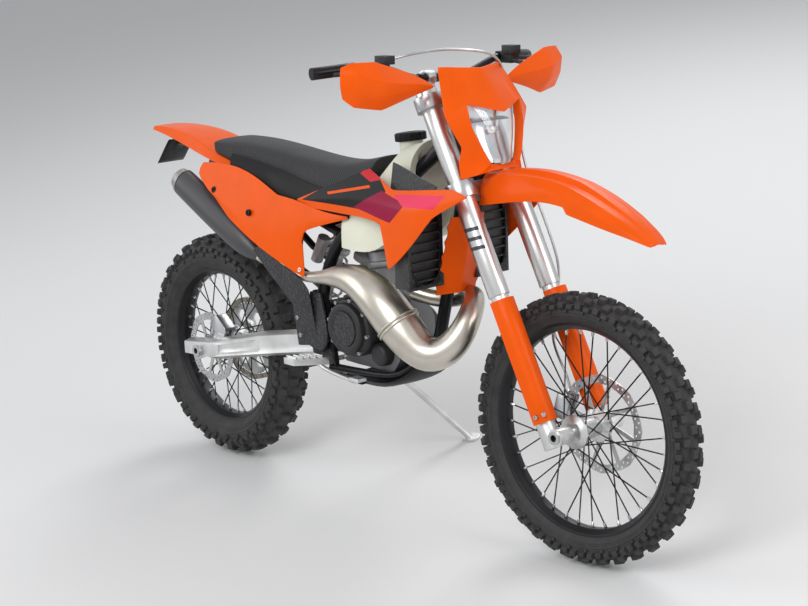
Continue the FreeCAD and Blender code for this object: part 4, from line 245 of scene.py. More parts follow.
def moulded(piece, way, wall=0.0035, sharp=13.0, levels=2, edge=0.0008, both=True):
    """Give a sheet its wall on the inside, keep its folds as creases, round the rest and break its edges.

    The sheet is the right half, and its left half is mirrored, unless both is False.
    """
    face_out(piece, way)
    if both:
        modify(piece, "MIRROR", use_axis=(False, True, False), use_mirror_merge=True, merge_threshold=0.0005)
    modify(piece, "SOLIDIFY", thickness=wall, offset=-1.0)
    crease(piece, sharp, 0.92)
    subdivide(piece, levels)
    if edge:
        round_edges(piece, edge, 50.0, 1)
    shade(piece, 24.0)
    return piece


def shell(name, rows, way, body, finish, nodes=(), slot="orange_plastic", **mould):
    """Mould a sheet from its rows, and let it ride."""
    seat_on(moulded(sheet_of(name, rows), way, **mould), body, finish, nodes)


def towards(place, out, along):
    """The matrix that stands a piece's Z along out and its X near along, at a place."""
    out = out.normalized()
    across = out.cross(along).normalized()
    ahead = across.cross(out)
    turn = Matrix((ahead, across, out)).transposed().to_4x4()
    return Matrix.Translation(place) @ turn


def around(angle):
    """A turn about the wheel's Y axis."""
    return Matrix.Rotation(angle, 4, "Y")


def copy_of(node, name):
    """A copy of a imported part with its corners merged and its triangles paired, to be rounded."""
    piece = bpy.data.objects.new(name, frame["nodes"][node].data.copy())
    bpy.context.scene.collection.objects.link(piece)
    edit(piece, action="SELECT")
    bpy.ops.mesh.remove_doubles(threshold=0.00002)
    bpy.ops.mesh.tris_convert_to_quads(face_threshold=math.radians(50), shape_threshold=math.radians(70))
    done()
    return piece


# The swingarm's recess: where it starts and ends along the arm, its border and its depth
RECESS_BACK, RECESS_FRONT = 0.12, 0.52
RECESS_BORDER, RECESS_DEPTH = 0.010, 0.004


def arm_recess(piece):
    """Sink the broad outer faces of both arms inside a raised border."""
    piece.data.transform(CHASSIS.inverted())
    for way in (-1, 1):
        edit(piece, "FACE")
        mesh = bmesh.from_edit_mesh(piece.data)
        for face in mesh.faces:
            middle = face.calc_center_median()
            outer = face.normal.y * way > 0.985 and middle.y * way > 0.06
            face.select_set(outer and RECESS_BACK < middle.x < RECESS_FRONT and face.calc_area() > 0.0004)
        bmesh.update_edit_mesh(piece.data)
        bpy.ops.mesh.inset(thickness=RECESS_BORDER, depth=-RECESS_DEPTH, use_individual=False)
    done()
    piece.data.transform(CHASSIS)


def rounded(node, finish, name, sharp, levels, edge):
    """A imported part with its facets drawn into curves, its sharp edges kept and then eased."""
    piece = copy_of(node, name)
    if node == "swingarm":
        arm_recess(piece)
    crease(piece, sharp, 1.0)
    if levels:
        subdivide(piece, levels)
    if edge:
        round_edges(piece, edge, 40.0)
    shade(piece, 38.0)
    carry(piece, BODY_OF[node], finish, [node])
    return piece


# Finishes

class Wire:
    """A socket in a finish's node tree. Sums written with it add the nodes that they need."""

    def __init__(self, tree, socket):
        self.tree = tree
        self.socket = socket

    def add(self, kind, settings=None, inputs=None, output=0):
        """Add a node of a kind: its settings first, then its sockets' values or links. Return one output."""
        node = self.tree.nodes.new(kind)
        for name, value in (settings or {}).items():
            setattr(node, name, value)
        for name, value in (inputs or {}).items():
            self.feed(node.inputs[name], value)
        return Wire(self.tree, node.outputs[output])

    def feed(self, socket, value):
        """Link a wire to a socket, or set the socket to a value."""
        if isinstance(value, Wire):
            self.tree.links.new(value.socket, socket)
        else:
            socket.default_value = value

    def sum(self, operation, first, second=0.0):
        return self.add("ShaderNodeMath", {"operation": operation}, {0: first, 1: second})

    def __add__(self, other):
        return self.sum("ADD", self, other)

    __radd__ = __add__

    def __sub__(self, other):
        return self.sum("SUBTRACT", self, other)

    def __rsub__(self, other):
        return self.sum("SUBTRACT", other, self)

    def __mul__(self, other):
        return self.sum("MULTIPLY", self, other)

    __rmul__ = __mul__

    def __gt__(self, other):
        return self.sum("GREATER_THAN", self, other)

    def __lt__(self, other):
        return self.sum("LESS_THAN", self, other)

    def clamp(self, low, high):
        """This value taken from low..high to 0..1, and held there."""
        return self.add("ShaderNodeMapRange", {"clamp": True},
                        {"Value": self, "From Min": low, "From Max": high})

    def wave(self):
        """The sine of this value."""
        return self.sum("SINE", self)

    def size(self):
        return self.sum("ABSOLUTE", self)


def mix(mask, first, second):
    """One colour where the mask is 0 and another where it is 1."""
    return mask.add("ShaderNodeMix", {"data_type": "RGBA"}, {0: mask, 6: first, 7: second}, 2)


def rgb(colour, share=1.0):
    """A colour for a node's socket, darker or lighter by a share."""
    return (*[part * share for part in colour], 1.0)


def new_finish(name):
    """An empty finish, and the place on the piece that its patterns read."""
    finish = bpy.data.materials.new(name)
    finish.use_nodes = True
    return finish, Wire(finish.node_tree, None).add("ShaderNodeTexCoord", output=3)


def finish_with(finish, colour, roughness, normal=None, others=None):
    """Give the shader its colour and roughness, its normal where there is a bump, and others by name."""
    shader = finish.node_tree.nodes["Principled BSDF"]
    values = {"Base Color": colour, "Roughness": roughness, "Normal": normal, **(others or {})}
    for name, value in values.items():
        if value is not None:
            Wire(finish.node_tree, None).feed(shader.inputs[name], value)
    return finish


def noise(place, scale, detail=3.0, roughness=0.5):
    """Soft noise whose grains are about 1/scale metres across."""
    return place.add("ShaderNodeTexNoise", {}, {"Vector": place, "Scale": scale, "Detail": detail,
                                                "Roughness": roughness})


def bump(height, strength, distance):
    return height.add("ShaderNodeBump", {}, {"Height": height, "Strength": strength, "Distance": distance})


def outputs_of(wire):
    """Every output of the node that a wire comes from."""
    return [Wire(wire.tree, socket) for socket in wire.socket.node.outputs]


def upright(place, carrier):
    """A place on the parked bike as the upright bike has it, in metres: ahead, side and up."""
    turned = place.add("ShaderNodeMapping", {"vector_type": "TEXTURE"}, {
        "Vector": place, "Location": tuple(carrier.to_translation()), "Rotation": tuple(carrier.to_euler())})
    return outputs_of(place.add("ShaderNodeSeparateXYZ", {}, {"Vector": turned}))


def facet(ahead, up, corners):
    """1 inside a convex patch seen from the side, its corners given clockwise in millimetres."""
    inside = 1.0
    for (x0, z0), (x1, z1) in zip(corners, corners[1:] + corners[:1]):
        inside = ((up - z0 / 1000) * (x1 - x0) < (ahead - x0 / 1000) * (z1 - z0)) * inside
    return inside


def plastic(name, colour, gloss=0.34, coat=0.04, patches=()):
    """Moulded plastic: a little mottle, fine scuffs and a faint orange peel, with patches of other colours."""
    finish, place = new_finish(name)
    cloud = noise(place, 14.0, 4.0)
    scuff = noise(place, 240.0, 6.0, 0.7).clamp(0.52, 0.72)
    tint = mix(cloud.clamp(0.3, 0.7), rgb(colour, 0.93), rgb(colour))
    if patches:
        ahead, side, up = upright(place, CHASSIS)
        for patch, corners in patches:
            tint = mix(facet(ahead, up, corners), tint, rgb(patch))
    peel = bump(noise(place, 900.0, 2.0), 0.25, 0.00002)
    return finish_with(finish, tint, gloss + scuff * 0.05 + cloud * 0.05, peel, {
        "Coat Weight": coat, "Coat Roughness": 0.08, "IOR": 1.49, "Specular IOR Level": 0.12})


def grained(name, colour):
    """Black plastic with a pebbled grip texture, and a painted highlight on each pebble's top."""
    finish, place = new_finish(name)
    pebble = place.add("ShaderNodeTexVoronoi", {}, {"Vector": place, "Scale": 115.0})
    cloud = noise(place, 20.0)
    tint = mix(cloud.clamp(0.3, 0.75), rgb(colour), rgb(colour, 1.9))
    # Painted highlight: each pebble's top, where the bump is highest, is painted five times lighter
    tint = mix(1.0 - pebble.clamp(0.18, 0.34), tint, rgb(colour, 5.0))
    return finish_with(finish, tint, 0.5 + cloud * 0.1, bump(1.0 - pebble, 0.8, 0.002))


def metal(name, colour, rough, grain, depth, metallic=1.0, stain=None):
    """Bare or cast metal with a fine grain and a slow change of tone."""
    finish, place = new_finish(name)
    cloud = noise(place, 11.0, 5.0)
    fine = noise(place, grain, 5.0, 0.65)
    tint = mix(cloud.clamp(0.32, 0.68), rgb(stain) if stain else rgb(colour, 0.72), rgb(colour))
    return finish_with(finish, tint, rough + fine * 0.14 + cloud * 0.06, bump(fine, 0.3, depth),
                       {"Metallic": metallic})


# The fork's stripes, in metres: how much they rise to the rear, their pitch and middle, where they start and
# end, and the side past which they show
STRIPE_RISE, STRIPE_PITCH, STRIPE_MIDDLE = 0.32, 0.026, 0.4
STRIPES_LOW, STRIPES_HIGH, STRIPES_OUT = 0.387, 0.465, 0.112


def striped(name, colour, dark):
    """Silver tube with three slanting stripes on its outer side."""
    finish, place = new_finish(name)
    ahead, side, up = upright(place, STEERING)
    level = up - ahead * STRIPE_RISE
    band = ((level - STRIPE_MIDDLE) * (2 * math.pi / STRIPE_PITCH)).wave() > 0.35
    shown = band * (level > STRIPES_LOW) * (level < STRIPES_HIGH) * (side.size() > STRIPES_OUT)
    fine = noise(place, 900.0, 5.0, 0.65)
    return finish_with(finish, mix(shown, rgb(colour), rgb(dark)), 0.24 + fine * 0.14,
                       bump(fine, 0.3, 0.00003), {"Metallic": 1.0 - shown * 0.9})


# The silencer's slope, and its seam along that slope, in metres
CAN_SLOPE, SEAM_BACK, SEAM_FRONT = 0.42, -0.353, -0.349


def two_tone(name, colour, cap):
    """The silencer's grey, lighter on its rear cap behind a dark seam."""
    finish, place = new_finish(name)
    ahead, side, up = upright(place, CHASSIS)
    along = ahead - up * CAN_SLOPE
    seam = (along > SEAM_BACK) * (along < SEAM_FRONT)
    fine = noise(place, 500.0, 5.0, 0.65)
    cloud = noise(place, 11.0, 5.0)
    tint = mix(seam, mix(along < SEAM_FRONT, rgb(colour), rgb(cap)), rgb((0.01, 0.01, 0.01)))
    return finish_with(finish, tint, 0.34 + fine * 0.14 + cloud * 0.06, bump(fine, 0.3, 0.00004),
                       {"Metallic": 0.55})


RIB_PITCH = 0.009


def ribbed_cover(name, colour):
    """Seat cover: fine ribs across a grained cloth, with a painted sheen along the ribs' crests."""
    finish, place = new_finish(name)
    ahead, side, up = upright(place, CHASSIS)
    rib = (ahead * (2 * math.pi / RIB_PITCH)).wave()
    # Painted sheen: the ribs' crests, where the bump is highest, are painted lighter
    tint = mix(rib.clamp(-0.4, 1.0), rgb(colour), rgb(colour, 2.4))
    weave = bump(rib * 0.5 + noise(place, 1400.0, 2.0) * 0.3, 0.8, 0.0016)
    return finish_with(finish, tint, 0.62 + noise(place, 20.0) * 0.1, weave)


def rubber(name, colour):
    """Tyre rubber: matt and faintly mottled."""
    finish, place = new_finish(name)
    cloud = noise(place, 30.0, 6.0, 0.6)
    tint = mix(cloud.clamp(0.35, 0.75), rgb(colour), rgb(colour, 2.3))
    return finish_with(finish, tint, 0.62 + cloud * 0.2, bump(noise(place, 900.0), 0.4, 0.0002))


def milky(name, colour):
    """Half-clear tank plastic: it glows a little where it is thin."""
    finish, place = new_finish(name)
    cloud = noise(place, 9.0)
    tint = mix(cloud.clamp(0.3, 0.7), rgb(colour, 0.9), rgb(colour))
    return finish_with(finish, tint, 0.38 + cloud * 0.08, bump(noise(place, 500.0), 0.2, 0.00005),
                       {"Subsurface Weight": 0.35, "Subsurface Radius": (0.01, 0.009, 0.006)})


def clear(name, colour):
    """Clear moulded plastic for the lamp."""
    finish, place = new_finish(name)
    return finish_with(finish, rgb(colour), 0.03 + noise(place, 60.0) * 0.04, None,
                       {"IOR": 1.49, "Transmission Weight": 0.9, "Coat Weight": 0.4})


# Each metal by its short name: its name, colour, roughness, grains in a metre, the grain's depth in metres, and
# where they differ from the usual, how metallic it is and the colour of its darker places
METALS = {
    "mirror": ("lamp_mirror", (0.9, 0.9, 0.92), 0.05, 400.0, 0.00001, 1.0, (0.8, 0.8, 0.82)),
    "rim": ("rim_black", (0.02, 0.02, 0.022), 0.3, 700.0, 0.00002, 0.5),
    "case": ("case_black", (0.03, 0.03, 0.032), 0.4, 700.0, 0.00015, 0.3),
    "cast": ("cast_alloy", (0.80, 0.80, 0.79), 0.3, 420.0, 0.0001),
    "milled": ("milled_alloy", (0.62, 0.62, 0.63), 0.22, 700.0, 0.00004),
    "dull": ("barrel_alloy", (0.42, 0.42, 0.43), 0.42, 300.0, 0.0002, 0.7),
    "grey": ("case_grey", (0.21, 0.21, 0.22), 0.42, 400.0, 0.0002, 0.6),
    "shock": ("shock_silver", (0.74, 0.74, 0.74), 0.34, 500.0, 0.00005, 0.5),
    "pipe": ("pipe_nickel", (0.64, 0.60, 0.53), 0.22, 900.0, 0.00001, 1.0, (0.52, 0.48, 0.41)),
    "steel": ("ground_steel", (0.6, 0.6, 0.6), 0.22, 800.0, 0.00004),
    "oiled": ("chain_steel", (0.42, 0.39, 0.34), 0.34, 600.0, 0.0001),
    "core": ("radiator_core", (0.1, 0.1, 0.1), 0.5, 900.0, 0.0004),
}


def finishes():
    """Every finish of the bike, by a short name."""
    colours = bpy.context.scene.bike_colours
    made = {short: metal(*values) for short, values in METALS.items()}
    made.update({
        "orange": plastic("bodywork_orange", colours.bodywork),
        "black": plastic("trim_black", colours.trim, gloss=0.42),
        "grained": grained("guard_grain_painted_highlights", colours.trim),
        "graphic": plastic("shroud_graphic", colours.bodywork, patches=SHROUD_PATCHES),
        "frame": plastic("frame_black", (0.012, 0.012, 0.014), gloss=0.3, coat=0.2),
        "silencer": two_tone("silencer_grey", (0.085, 0.085, 0.09), (0.33, 0.32, 0.31)),
        "fork": striped("fork_silver", (0.68, 0.67, 0.66), (0.05, 0.05, 0.055)),
        "tank": milky("tank_milky", colours.tank),
        "seat": ribbed_cover("seat_cover", (0.014, 0.014, 0.015)),
        "rubber": rubber("tyre_rubber", (0.020, 0.020, 0.020)),
        "lens": clear("lens_clear", (0.92, 0.95, 0.97)),
    })
    return made


# The shrouds' colour patches: a colour, and its corners (ahead, up) in millimetres on the upright bike
SHROUD_PATCHES = (
    ((0.012, 0.012, 0.013), [(540, 858), (835, 990), (945, 925), (905, 868)]),
    ((0.90, 0.10, 0.002), [(660, 892), (860, 932), (868, 926), (668, 886)]),
    ((0.30, 0.004, 0.045), [(800, 868), (925, 925), (1050, 905), (985, 850)]),
    ((0.86, 0.045, 0.12), [(985, 922), (1205, 944), (1165, 905), (1040, 898)]),
    ((0.62, 0.02, 0.03), [(800, 955), (840, 985), (905, 950), (860, 940)]),
)

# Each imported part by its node: its finish, and where it is rounded, the piece's name, the fold in degrees that
# stays sharp, the levels of subdivision, and the width of its eased edges in metres
PARTS = {
    "frame": ("frame", "frame_tubes", 62, 1, 0.0015),
    "subframe": ("frame", "subframe_tubes", 62, 1, 0.0012),
    "swingarm": ("cast", "swingarm_casting", 30, 0, 0.0035),
    "engine_case": ("grey", "engine_block", 30, 0, 0.004),
    "engine_covers": ("case", "engine_cover_castings", 50, 2, 0.0015),
    "cylinder_head": ("dull", "barrel_and_head", 30, 0, 0.0016),
    "exhaust_pipe": ("pipe", "expansion_chamber", 70, 2, 0.0),
    "silencer": ("silencer", "silencer_can", 45, 2, 0.0012),
    "fuel_tank": ("tank", "tank_shell", 62, 3, 0.0),
    "rear_fender": ("orange", "rear_mudguard", 30, 2, 0.0008),
    "radiators": ("core", "radiator_cores", 40, 0, 0.001),
    "radiator_guards": ("grained", "radiator_louvres", 50, 2, 0.0006),
    "rear_shock": ("shock", "shock_absorber", 50, 2, 0.0006),
    "skid_plate": ("black", "bash_plate", 40, 2, 0.0008),
    "frame_guards": ("grained", "frame_side_guards", 50, 2, 0.0008),
    "foot_controls": ("cast", "pegs_and_pedals", 50, 1, 0.0008),
    "chain": ("oiled", "chain_links", 50, 0, 0.0),
    "rear_caliper": ("milled", "rear_caliper_body", 30, 0, 0.0025),
    "triple_clamps": ("milled", "fork_clamps", 50, 1, 0.0012),
    "fork_tubes": ("fork", "fork_outer_tubes", 50, 2, 0.0006),
    "fork_legs": ("cast", "fork_lower_legs", 50, 1, 0.0012),
    "fork_guards": ("orange", "fork_leg_guards", 50, 2, 0.0008),
    "handlebar": ("frame", "bar_tube", 50, 2, 0.0004),
    "bar_controls": ("case", "bar_levers", 50, 1, 0.0006),
    "front_caliper": ("milled", "front_caliper_body", 30, 0, 0.0025),
    "front_hub": ("cast", "front_hub_and_spokes", 50, 0, 0.0),
    "rear_hub": ("cast", "rear_hub_and_spokes", 50, 0, 0.0),
    "rear_sprocket": ("steel", "rear_sprocket_plate", 50, 0, 0.0),
    "side_stand": ("cast", "side_stand_leg", 50, 2, 0.0008),
    "brake_hose": ("steel", "front_brake_hose", 60, 1, 0.0),
    "seat": ("seat",),
    "side_panels": ("orange",),
    "shrouds": ("orange",),
    "rear_axle": ("steel",),
    "front_axle": ("steel",),
    "front_fender": ("orange",),
    "headlight_mask": ("orange",),
    "headlight": ("lens",),
    "hand_guards": ("orange",),
    "front_tyre": ("rubber",),
    "front_rim": ("frame",),
    "front_disc": ("steel",),
    "rear_tyre": ("rubber",),
    "rear_rim": ("frame",),
    "rear_disc": ("steel",),
}


def finish_named(short):
    """A finish made by the dressing's first step."""
    return bpy.data.materials[bpy.context.scene["bike_finishes"][short]]


# What a user would change

def paint(name, description, default):
    return bpy.props.FloatVectorProperty(name=name, description=description, default=default, subtype="COLOR")


class BikeColours(bpy.types.PropertyGroup):
    bodywork: paint("Bodywork", "Colour of the moulded bodywork", (0.93, 0.11, 0.002))
    trim: paint("Trim", "Colour of the black plastic", (0.013, 0.013, 0.014))
    tank: paint("Tank", "Colour of the milky tank plastic", (0.84, 0.85, 0.70))
    floor: paint("Floor", "Colour of the studio floor", (0.8, 0.8, 0.8))


class BikeStage(bpy.types.PropertyGroup):
    floor_size: bpy.props.FloatProperty(name="Floor", description="Width of the studio floor", default=60.0,
                                        unit="LENGTH")
    lens: bpy.props.FloatProperty(name="Lens", description="Focal length on a 36 mm film", default=86.6249)
    camera_place: bpy.props.FloatVectorProperty(name="Camera", description="Where the camera stands",
                                                default=tuple(CHASSIS @ Vector((4.7123, -3.4505, 1.7357))),
                                                subtype="TRANSLATION")
    camera_turn: bpy.props.FloatVectorProperty(
        name="Camera turn", description="How the camera is turned",
        default=(math.radians(70.7853), math.radians(9.5107), math.radians(47.3655)), subtype="EULER")


class BIKE_OT_finishes(bpy.types.Operator):
    """Make every finish and give each carried-over piece its own"""
    bl_idname = "bike.finishes"
    bl_label = "Finishes"

    def execute(self, context):
        made = finishes()
        context.scene["bike_finishes"] = {short: finish.name for short, finish in made.items()}
        for node, piece in frame["nodes"].items():
            piece.data.materials.clear()
            piece.data.materials.append(made[PARTS[node][0]])
        return {"FINISHED"}


# The radius outside which a hub's node is black spokes
SPOKES_FROM = 0.048


class BIKE_OT_parts(bpy.types.Operator):
    """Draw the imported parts' facets into curves, ease their edges and blacken the spokes"""
    bl_idname = "bike.parts"
    bl_label = "Rounded parts"

    def execute(self, context):
        for node, (finish, *shape) in PARTS.items():
            if not shape:
                continue
            piece = rounded(node, finish, *shape)
            if node in ("front_hub", "rear_hub"):
                middle = JOINT_PLACE[BODY_OF[node] + "_spin"]
                side = CARRIER[BODY_OF[node]].to_3x3() @ Vector((0.0, 1.0, 0.0))
                piece.data.materials.append(finish_named("frame"))
                for face in piece.data.polygons:
                    face.material_index = int((face.center - middle).cross(side).length > SPOKES_FROM)
        return {"FINISHED"}


# Rows of corners for the moulded bodywork, right side, in millimetres on the upright bike

SHROUD_ROWS = (
    ((517, -122, 857), (615, -125, 892), (735, -127, 937), (835, -126, 972), (970, -167, 932),
     (1043, -177, 938), (1138, -187, 951), (1222, -190, 960), (1279, -197, 949)),
    ((518, -124, 854), (619, -133, 865), (747, -146, 888), (864, -168, 897), (975, -188, 898),
     (1037, -198, 892), (1116, -206, 900), (1187, -202, 922), (1280, -198, 947)),
    ((519, -124, 853), (600, -130, 852), (752, -147, 862), (858, -168, 868), (958, -190, 866),
     (1010, -198, 836), (1082, -204, 846), (1170, -205, 902), (1281, -198, 946)),
    ((520, -122, 852), (580, -127, 839), (756, -145, 841), (850, -162, 845), (938, -186, 842),
     (974, -196, 723), (1051, -199, 778), (1155, -203, 882), (1281, -197, 945)),
)
PANEL_ROWS = (
    ((67, -124, 905), (78, -119, 923), (205, -119, 931), (319, -123, 912), (439, -131, 862), (524, -128, 856),
     (630, -127, 831), (736, -127, 831)),
    ((68, -130, 890), (110, -134, 884), (237, -140, 873), (362, -144, 845), (472, -143, 820),
     (557, -136, 822), (632, -131, 820), (737, -128, 828)),
    ((84, -136, 878), (135, -150, 850), (243, -160, 815), (376, -162, 775), (510, -155, 735),
     (556, -142, 790), (626, -133, 806), (737, -128, 826)),
    ((99, -135, 867), (155, -146, 836), (243, -161, 780), (382, -171, 712), (572, -152, 640),
     (552, -141, 770), (622, -132, 794), (737, -127, 824)),
)
MASK_PLATE = (
    ((1088, -116, 1248), (1109, -58, 1244), (1130, 0, 1241)),
    ((1120, -138, 1190), (1146, -68, 1200), (1172, 0, 1186)),
    ((1150, -156, 1129), (1174, -100, 1157), (1213, 0, 1132)),
)
MASK_CHEEK = (
    ((1150, -156, 1129), (1174, -100, 1157), (1160, -88, 1150)),
    ((1158, -136, 1088), (1190, -98, 1100), (1172, -84, 1096)),
    ((1166, -112, 1047), (1206, -78, 1048), (1188, -62, 1040)),
    ((1160, -116, 1008), (1216, -54, 1004), (1202, -42, 1003)),
    ((1167, -118, 966), (1196, -84, 977), (1212, -42, 986)),
)
MASK_CHIN = (
    ((1196, -84, 977), (1212, -42, 986), (1220, 0, 990)),
    ((1216, -54, 1004), (1202, -42, 1003), (1206, 0, 998)),
)
LENS_ROWS = (
    ((1156, -90, 1152), (1176, -56, 1158), (1186, 0, 1142)),
    ((1166, -86, 1110), (1194, -50, 1116), (1203, 0, 1112)),
    ((1180, -68, 1056), (1206, -38, 1060), (1212, 0, 1060)),
    ((1196, -42, 1002), (1212, -24, 1004), (1216, 0, 1000)),
)
LAMP_SHELF = (
    ((1138, -74, 1112), (1136, 0, 1116), (1138, 74, 1112)),
    ((1158, -78, 1108), (1180, 0, 1112), (1158, 78, 1108)),
)
# The front mudguard's stations: ahead, its crest's and its edge's height, its half width, its channels' depth
MUDGUARD_SHAPE = (
    (1165, 975, 893, 48, 0), (1235, 992, 905, 60, 6), (1330, 998, 922, 67, 12), (1410, 992, 926, 70, 13),
    (1462, 981, 919, 71, 12), (1474, 978, 902, 72, 11), (1530, 957, 890, 72, 9), (1590, 926, 875, 68, 5),
    (1650, 893, 861, 58, 2), (1690, 858, 846, 42, 0), (1704, 846, 840, 30, 0),
)
# Its section, from the edge to the crest: shares of the half width, of the fall from crest to edge and of the
# channels' depth, and millimetres below them
MUDGUARD_SECTION = ((1, 1, 0, 0), (0.95, 0.55, 0, 0), (0.72, 0.16, 0, 2), (0.50, 0, 1.1, 3), (0.36, 0, 1, 2),
                    (0.24, 0, 0, 1), (0, 0, 0, 0))
HAND_ROWS = (
    ((1092, -135, 1203), (1086, -190, 1232), (1078, -260, 1254), (1068, -318, 1272), (1054, -385, 1273),
     (1040, -408, 1262)),
    ((1094, -136, 1200), (1104, -200, 1212), (1108, -265, 1216), (1104, -320, 1224), (1078, -385, 1244),
     (1042, -412, 1248)),
    ((1093, -136, 1198), (1098, -206, 1194), (1100, -262, 1190), (1096, -312, 1184), (1072, -385, 1200),
     (1042, -413, 1216)),
    ((1092, -135, 1196), (1086, -216, 1176), (1080, -255, 1164), (1072, -300, 1150), (1056, -380, 1162),
     (1042, -406, 1184)),
)
# The centre deflector: its foot's and top's place ahead, half width and height, its bulge and its sides' teeth
DEFLECTOR_FOOT, DEFLECTOR_TOP = (1022, 72, 642), (1076, 60, 854)
DEFLECTOR_BULGE, DEFLECTOR_LEVELS, TOOTH, TOOTH_EVERY = 18, 16, 7, 3
RIGHT_OUT = (0.0, -1.0, 0.3)


def deflector_rows():
    """Rows across the centre deflector, from its foot to its top."""
    rows = []
    for level in range(DEFLECTOR_LEVELS + 1):
        ahead, half, up = (low + (high - low) * level / DEFLECTOR_LEVELS
                           for low, high in zip(DEFLECTOR_FOOT, DEFLECTOR_TOP))
        edge = half + (TOOTH if level % TOOTH_EVERY == TOOTH_EVERY - 1 else 0)
        rows.append([(ahead + DEFLECTOR_BULGE * (1 - abs(side)),
                      side * (edge if abs(side) == 1 else half), up)
                     for side in (-1, -0.8, -0.4, 0, 0.4, 0.8, 1)])
    return rows


class BIKE_OT_bodywork(bpy.types.Operator):
    """Mould the shrouds, the side panels and the centre deflector"""
    bl_idname = "bike.bodywork"
    bl_label = "Shrouds and panels"

    def execute(self, context):
        shell("tank_shrouds", SHROUD_ROWS, RIGHT_OUT, "chassis", "graphic", ["shrouds"])
        shell("side_number_panels", PANEL_ROWS, RIGHT_OUT, "chassis", "orange", ["side_panels"])
        shell("centre_deflector", deflector_rows(), AHEAD, "chassis", "orange", levels=1, both=False)
        return {"FINISHED"}


MASK_OUT = (1.0, -0.4, 0.1)
# How far the reflector lies behind each row of the lens in millimetres, and how wide it is beside it
REFLECTOR_BACK, REFLECTOR_WIDTH = (22, 48, 48, 22), 0.92
BULB = [(0.0001, -0.022), (0.009, -0.022), (0.0095, -0.012), (0.006, -0.008), (0.011, 0.004), (0.012, 0.012),
        (0.008, 0.021), (0.0001, 0.024)]
BULB_PLACE = (1.160, 0.0, 1.086)


class BIKE_OT_mask(bpy.types.Operator):
    """Mould the lamp mask and set its lens, reflector, shelf and bulb"""
    bl_idname = "bike.mask"
    bl_label = "Lamp mask"

    def execute(self, context):
        parts = [sheet_of("mask_sheet", rows) for rows in (MASK_PLATE, MASK_CHEEK, MASK_CHIN)]
        for part in parts:
            face_out(part, MASK_OUT)
        mask = joined(parts, "lamp_mask")
        merge(mask, 0.001)
        moulded(mask, MASK_OUT, wall=0.003)
        seat_on(mask, "steering", "orange", ["headlight_mask"])
        shell("lamp_lens", LENS_ROWS, AHEAD, "steering", "lens", ["headlight"], "lens_clear", wall=0.002,
              sharp=70.0, edge=0.0)
        rows = [[(x - back, y * REFLECTOR_WIDTH, z) for x, y, z in row]
                for row, back in zip(LENS_ROWS, REFLECTOR_BACK)]
        shell("lamp_reflector", rows, AHEAD, "steering", "mirror", (), "lens_clear", wall=0.002, sharp=50.0,
              edge=0.0)
        shell("lamp_shelf", LAMP_SHELF, (0.0, 0.0, 1.0), "steering", "black", (), "black_plastic", both=False)
        bulb = lathe("lamp_bulb", BULB, 24, False)
        bulb.data.transform(Matrix.Translation(BULB_PLACE) @ Matrix.Rotation(-math.pi / 2, 4, "Z"))
        shade(bulb, 50.0)
        seat_on(bulb, "steering", "milled")
        return {"FINISHED"}


class BIKE_OT_mudguard(bpy.types.Operator):
    """Mould the front mudguard with its two channels"""
    bl_idname = "bike.mudguard"
    bl_label = "Front mudguard"

    def execute(self, context):
        rows = [[(ahead, -out * half, crest - fall * (crest - edge) - dip * groove - below)
                 for out, fall, dip, below in MUDGUARD_SECTION]
                for ahead, crest, edge, half, groove in MUDGUARD_SHAPE]
        shell("front_mudguard", rows, (0.0, 0.0, 1.0), "steering", "orange", ["front_fender"], sharp=24.0)
        return {"FINISHED"}


# The stays of the hand shields end here, behind the shields
STAYS_END = 1.070


class BIKE_OT_hand_shields(bpy.types.Operator):
    """Mould the hand shields and keep their stays behind them"""
    bl_idname = "bike.hand_shields"
    bl_label = "Hand shields"

    def execute(self, context):
        stays = bpy.data.objects["bar_levers"]
        stays.data.transform(STEERING.inverted())
        for corner in stays.data.vertices:
            corner.co.x = min(corner.co.x, STAYS_END)
        stays.data.transform(STEERING)
        shell("hand_shields", HAND_ROWS, (1.0, -0.2, 0.0), "steering", "orange", ["hand_guards"], sharp=10.0)
        return {"FINISHED"}


# In metres: the tyre's radius and half width, the radius of the rim's bead seat and its half width, the knobs'
# pitches around the tyre, and the brake disc's radius and side
Wheel = namedtuple("Wheel", "side axle radius half rim rim_half pitches disc disc_side")
WHEELS = (Wheel("front", FRONT_AXLE, 0.350, 0.045, 0.272, 0.026, 36, 0.130, 0.061),
          Wheel("rear", REAR_AXLE, 0.340, 0.062, 0.234, 0.033, 32, 0.110, -0.070))
RING_SIDES = 96
LUG = 0.0125
# How much of the carcass's depth lies outside its widest place
CROWN = 0.54


def tread_place(wheel, lean):
    """A place on the carcass and the way out from it, lean degrees from the crown towards the bead."""
    depth = wheel.radius - LUG - wheel.rim
    turn = math.radians(lean)
    out = Vector((0.0, math.sin(turn) / wheel.half, math.cos(turn) / (CROWN * depth))).normalized()
    level = wheel.rim + (1 - CROWN) * depth + math.cos(turn) * CROWN * depth
    return Vector((0.0, math.sin(turn) * (wheel.half - 0.006), level)), out


def carcass(wheel):
    """The tyre's smooth body, from bead to bead."""
    foot, bead = wheel.rim - 0.003, wheel.rim_half - 0.005
    section = [(foot, -bead)]
    for lean in range(-126, 127, 14):
        place, out = tread_place(wheel, lean)
        if place.z > wheel.rim + 0.009:
            section.append((place.z, place.y))
    return lathe(wheel.side + "_carcass", section + [(foot, bead)], RING_SIDES)


def knob(length, width, height):
    """One tread block: narrower at its top, its edges broken."""
    block = primitive(bpy.ops.mesh.primitive_cube_add, size=1.0, location=(0, 0, 0.5))
    edit(block, "FACE")
    pick(block, lambda middle: middle.z > 0.9)
    bpy.ops.transform.resize(value=(0.80, 0.82, 1.0), center_override=(0, 0, 1.0))
    bpy.ops.mesh.select_all(action="SELECT")
    bpy.ops.transform.resize(value=(length, width, height), center_override=(0, 0, 0))
    bpy.ops.transform.translate(value=(0, 0, -0.003))
    bpy.ops.mesh.bevel(offset=0.0012, segments=1, affect="EDGES")
    done()
    return block


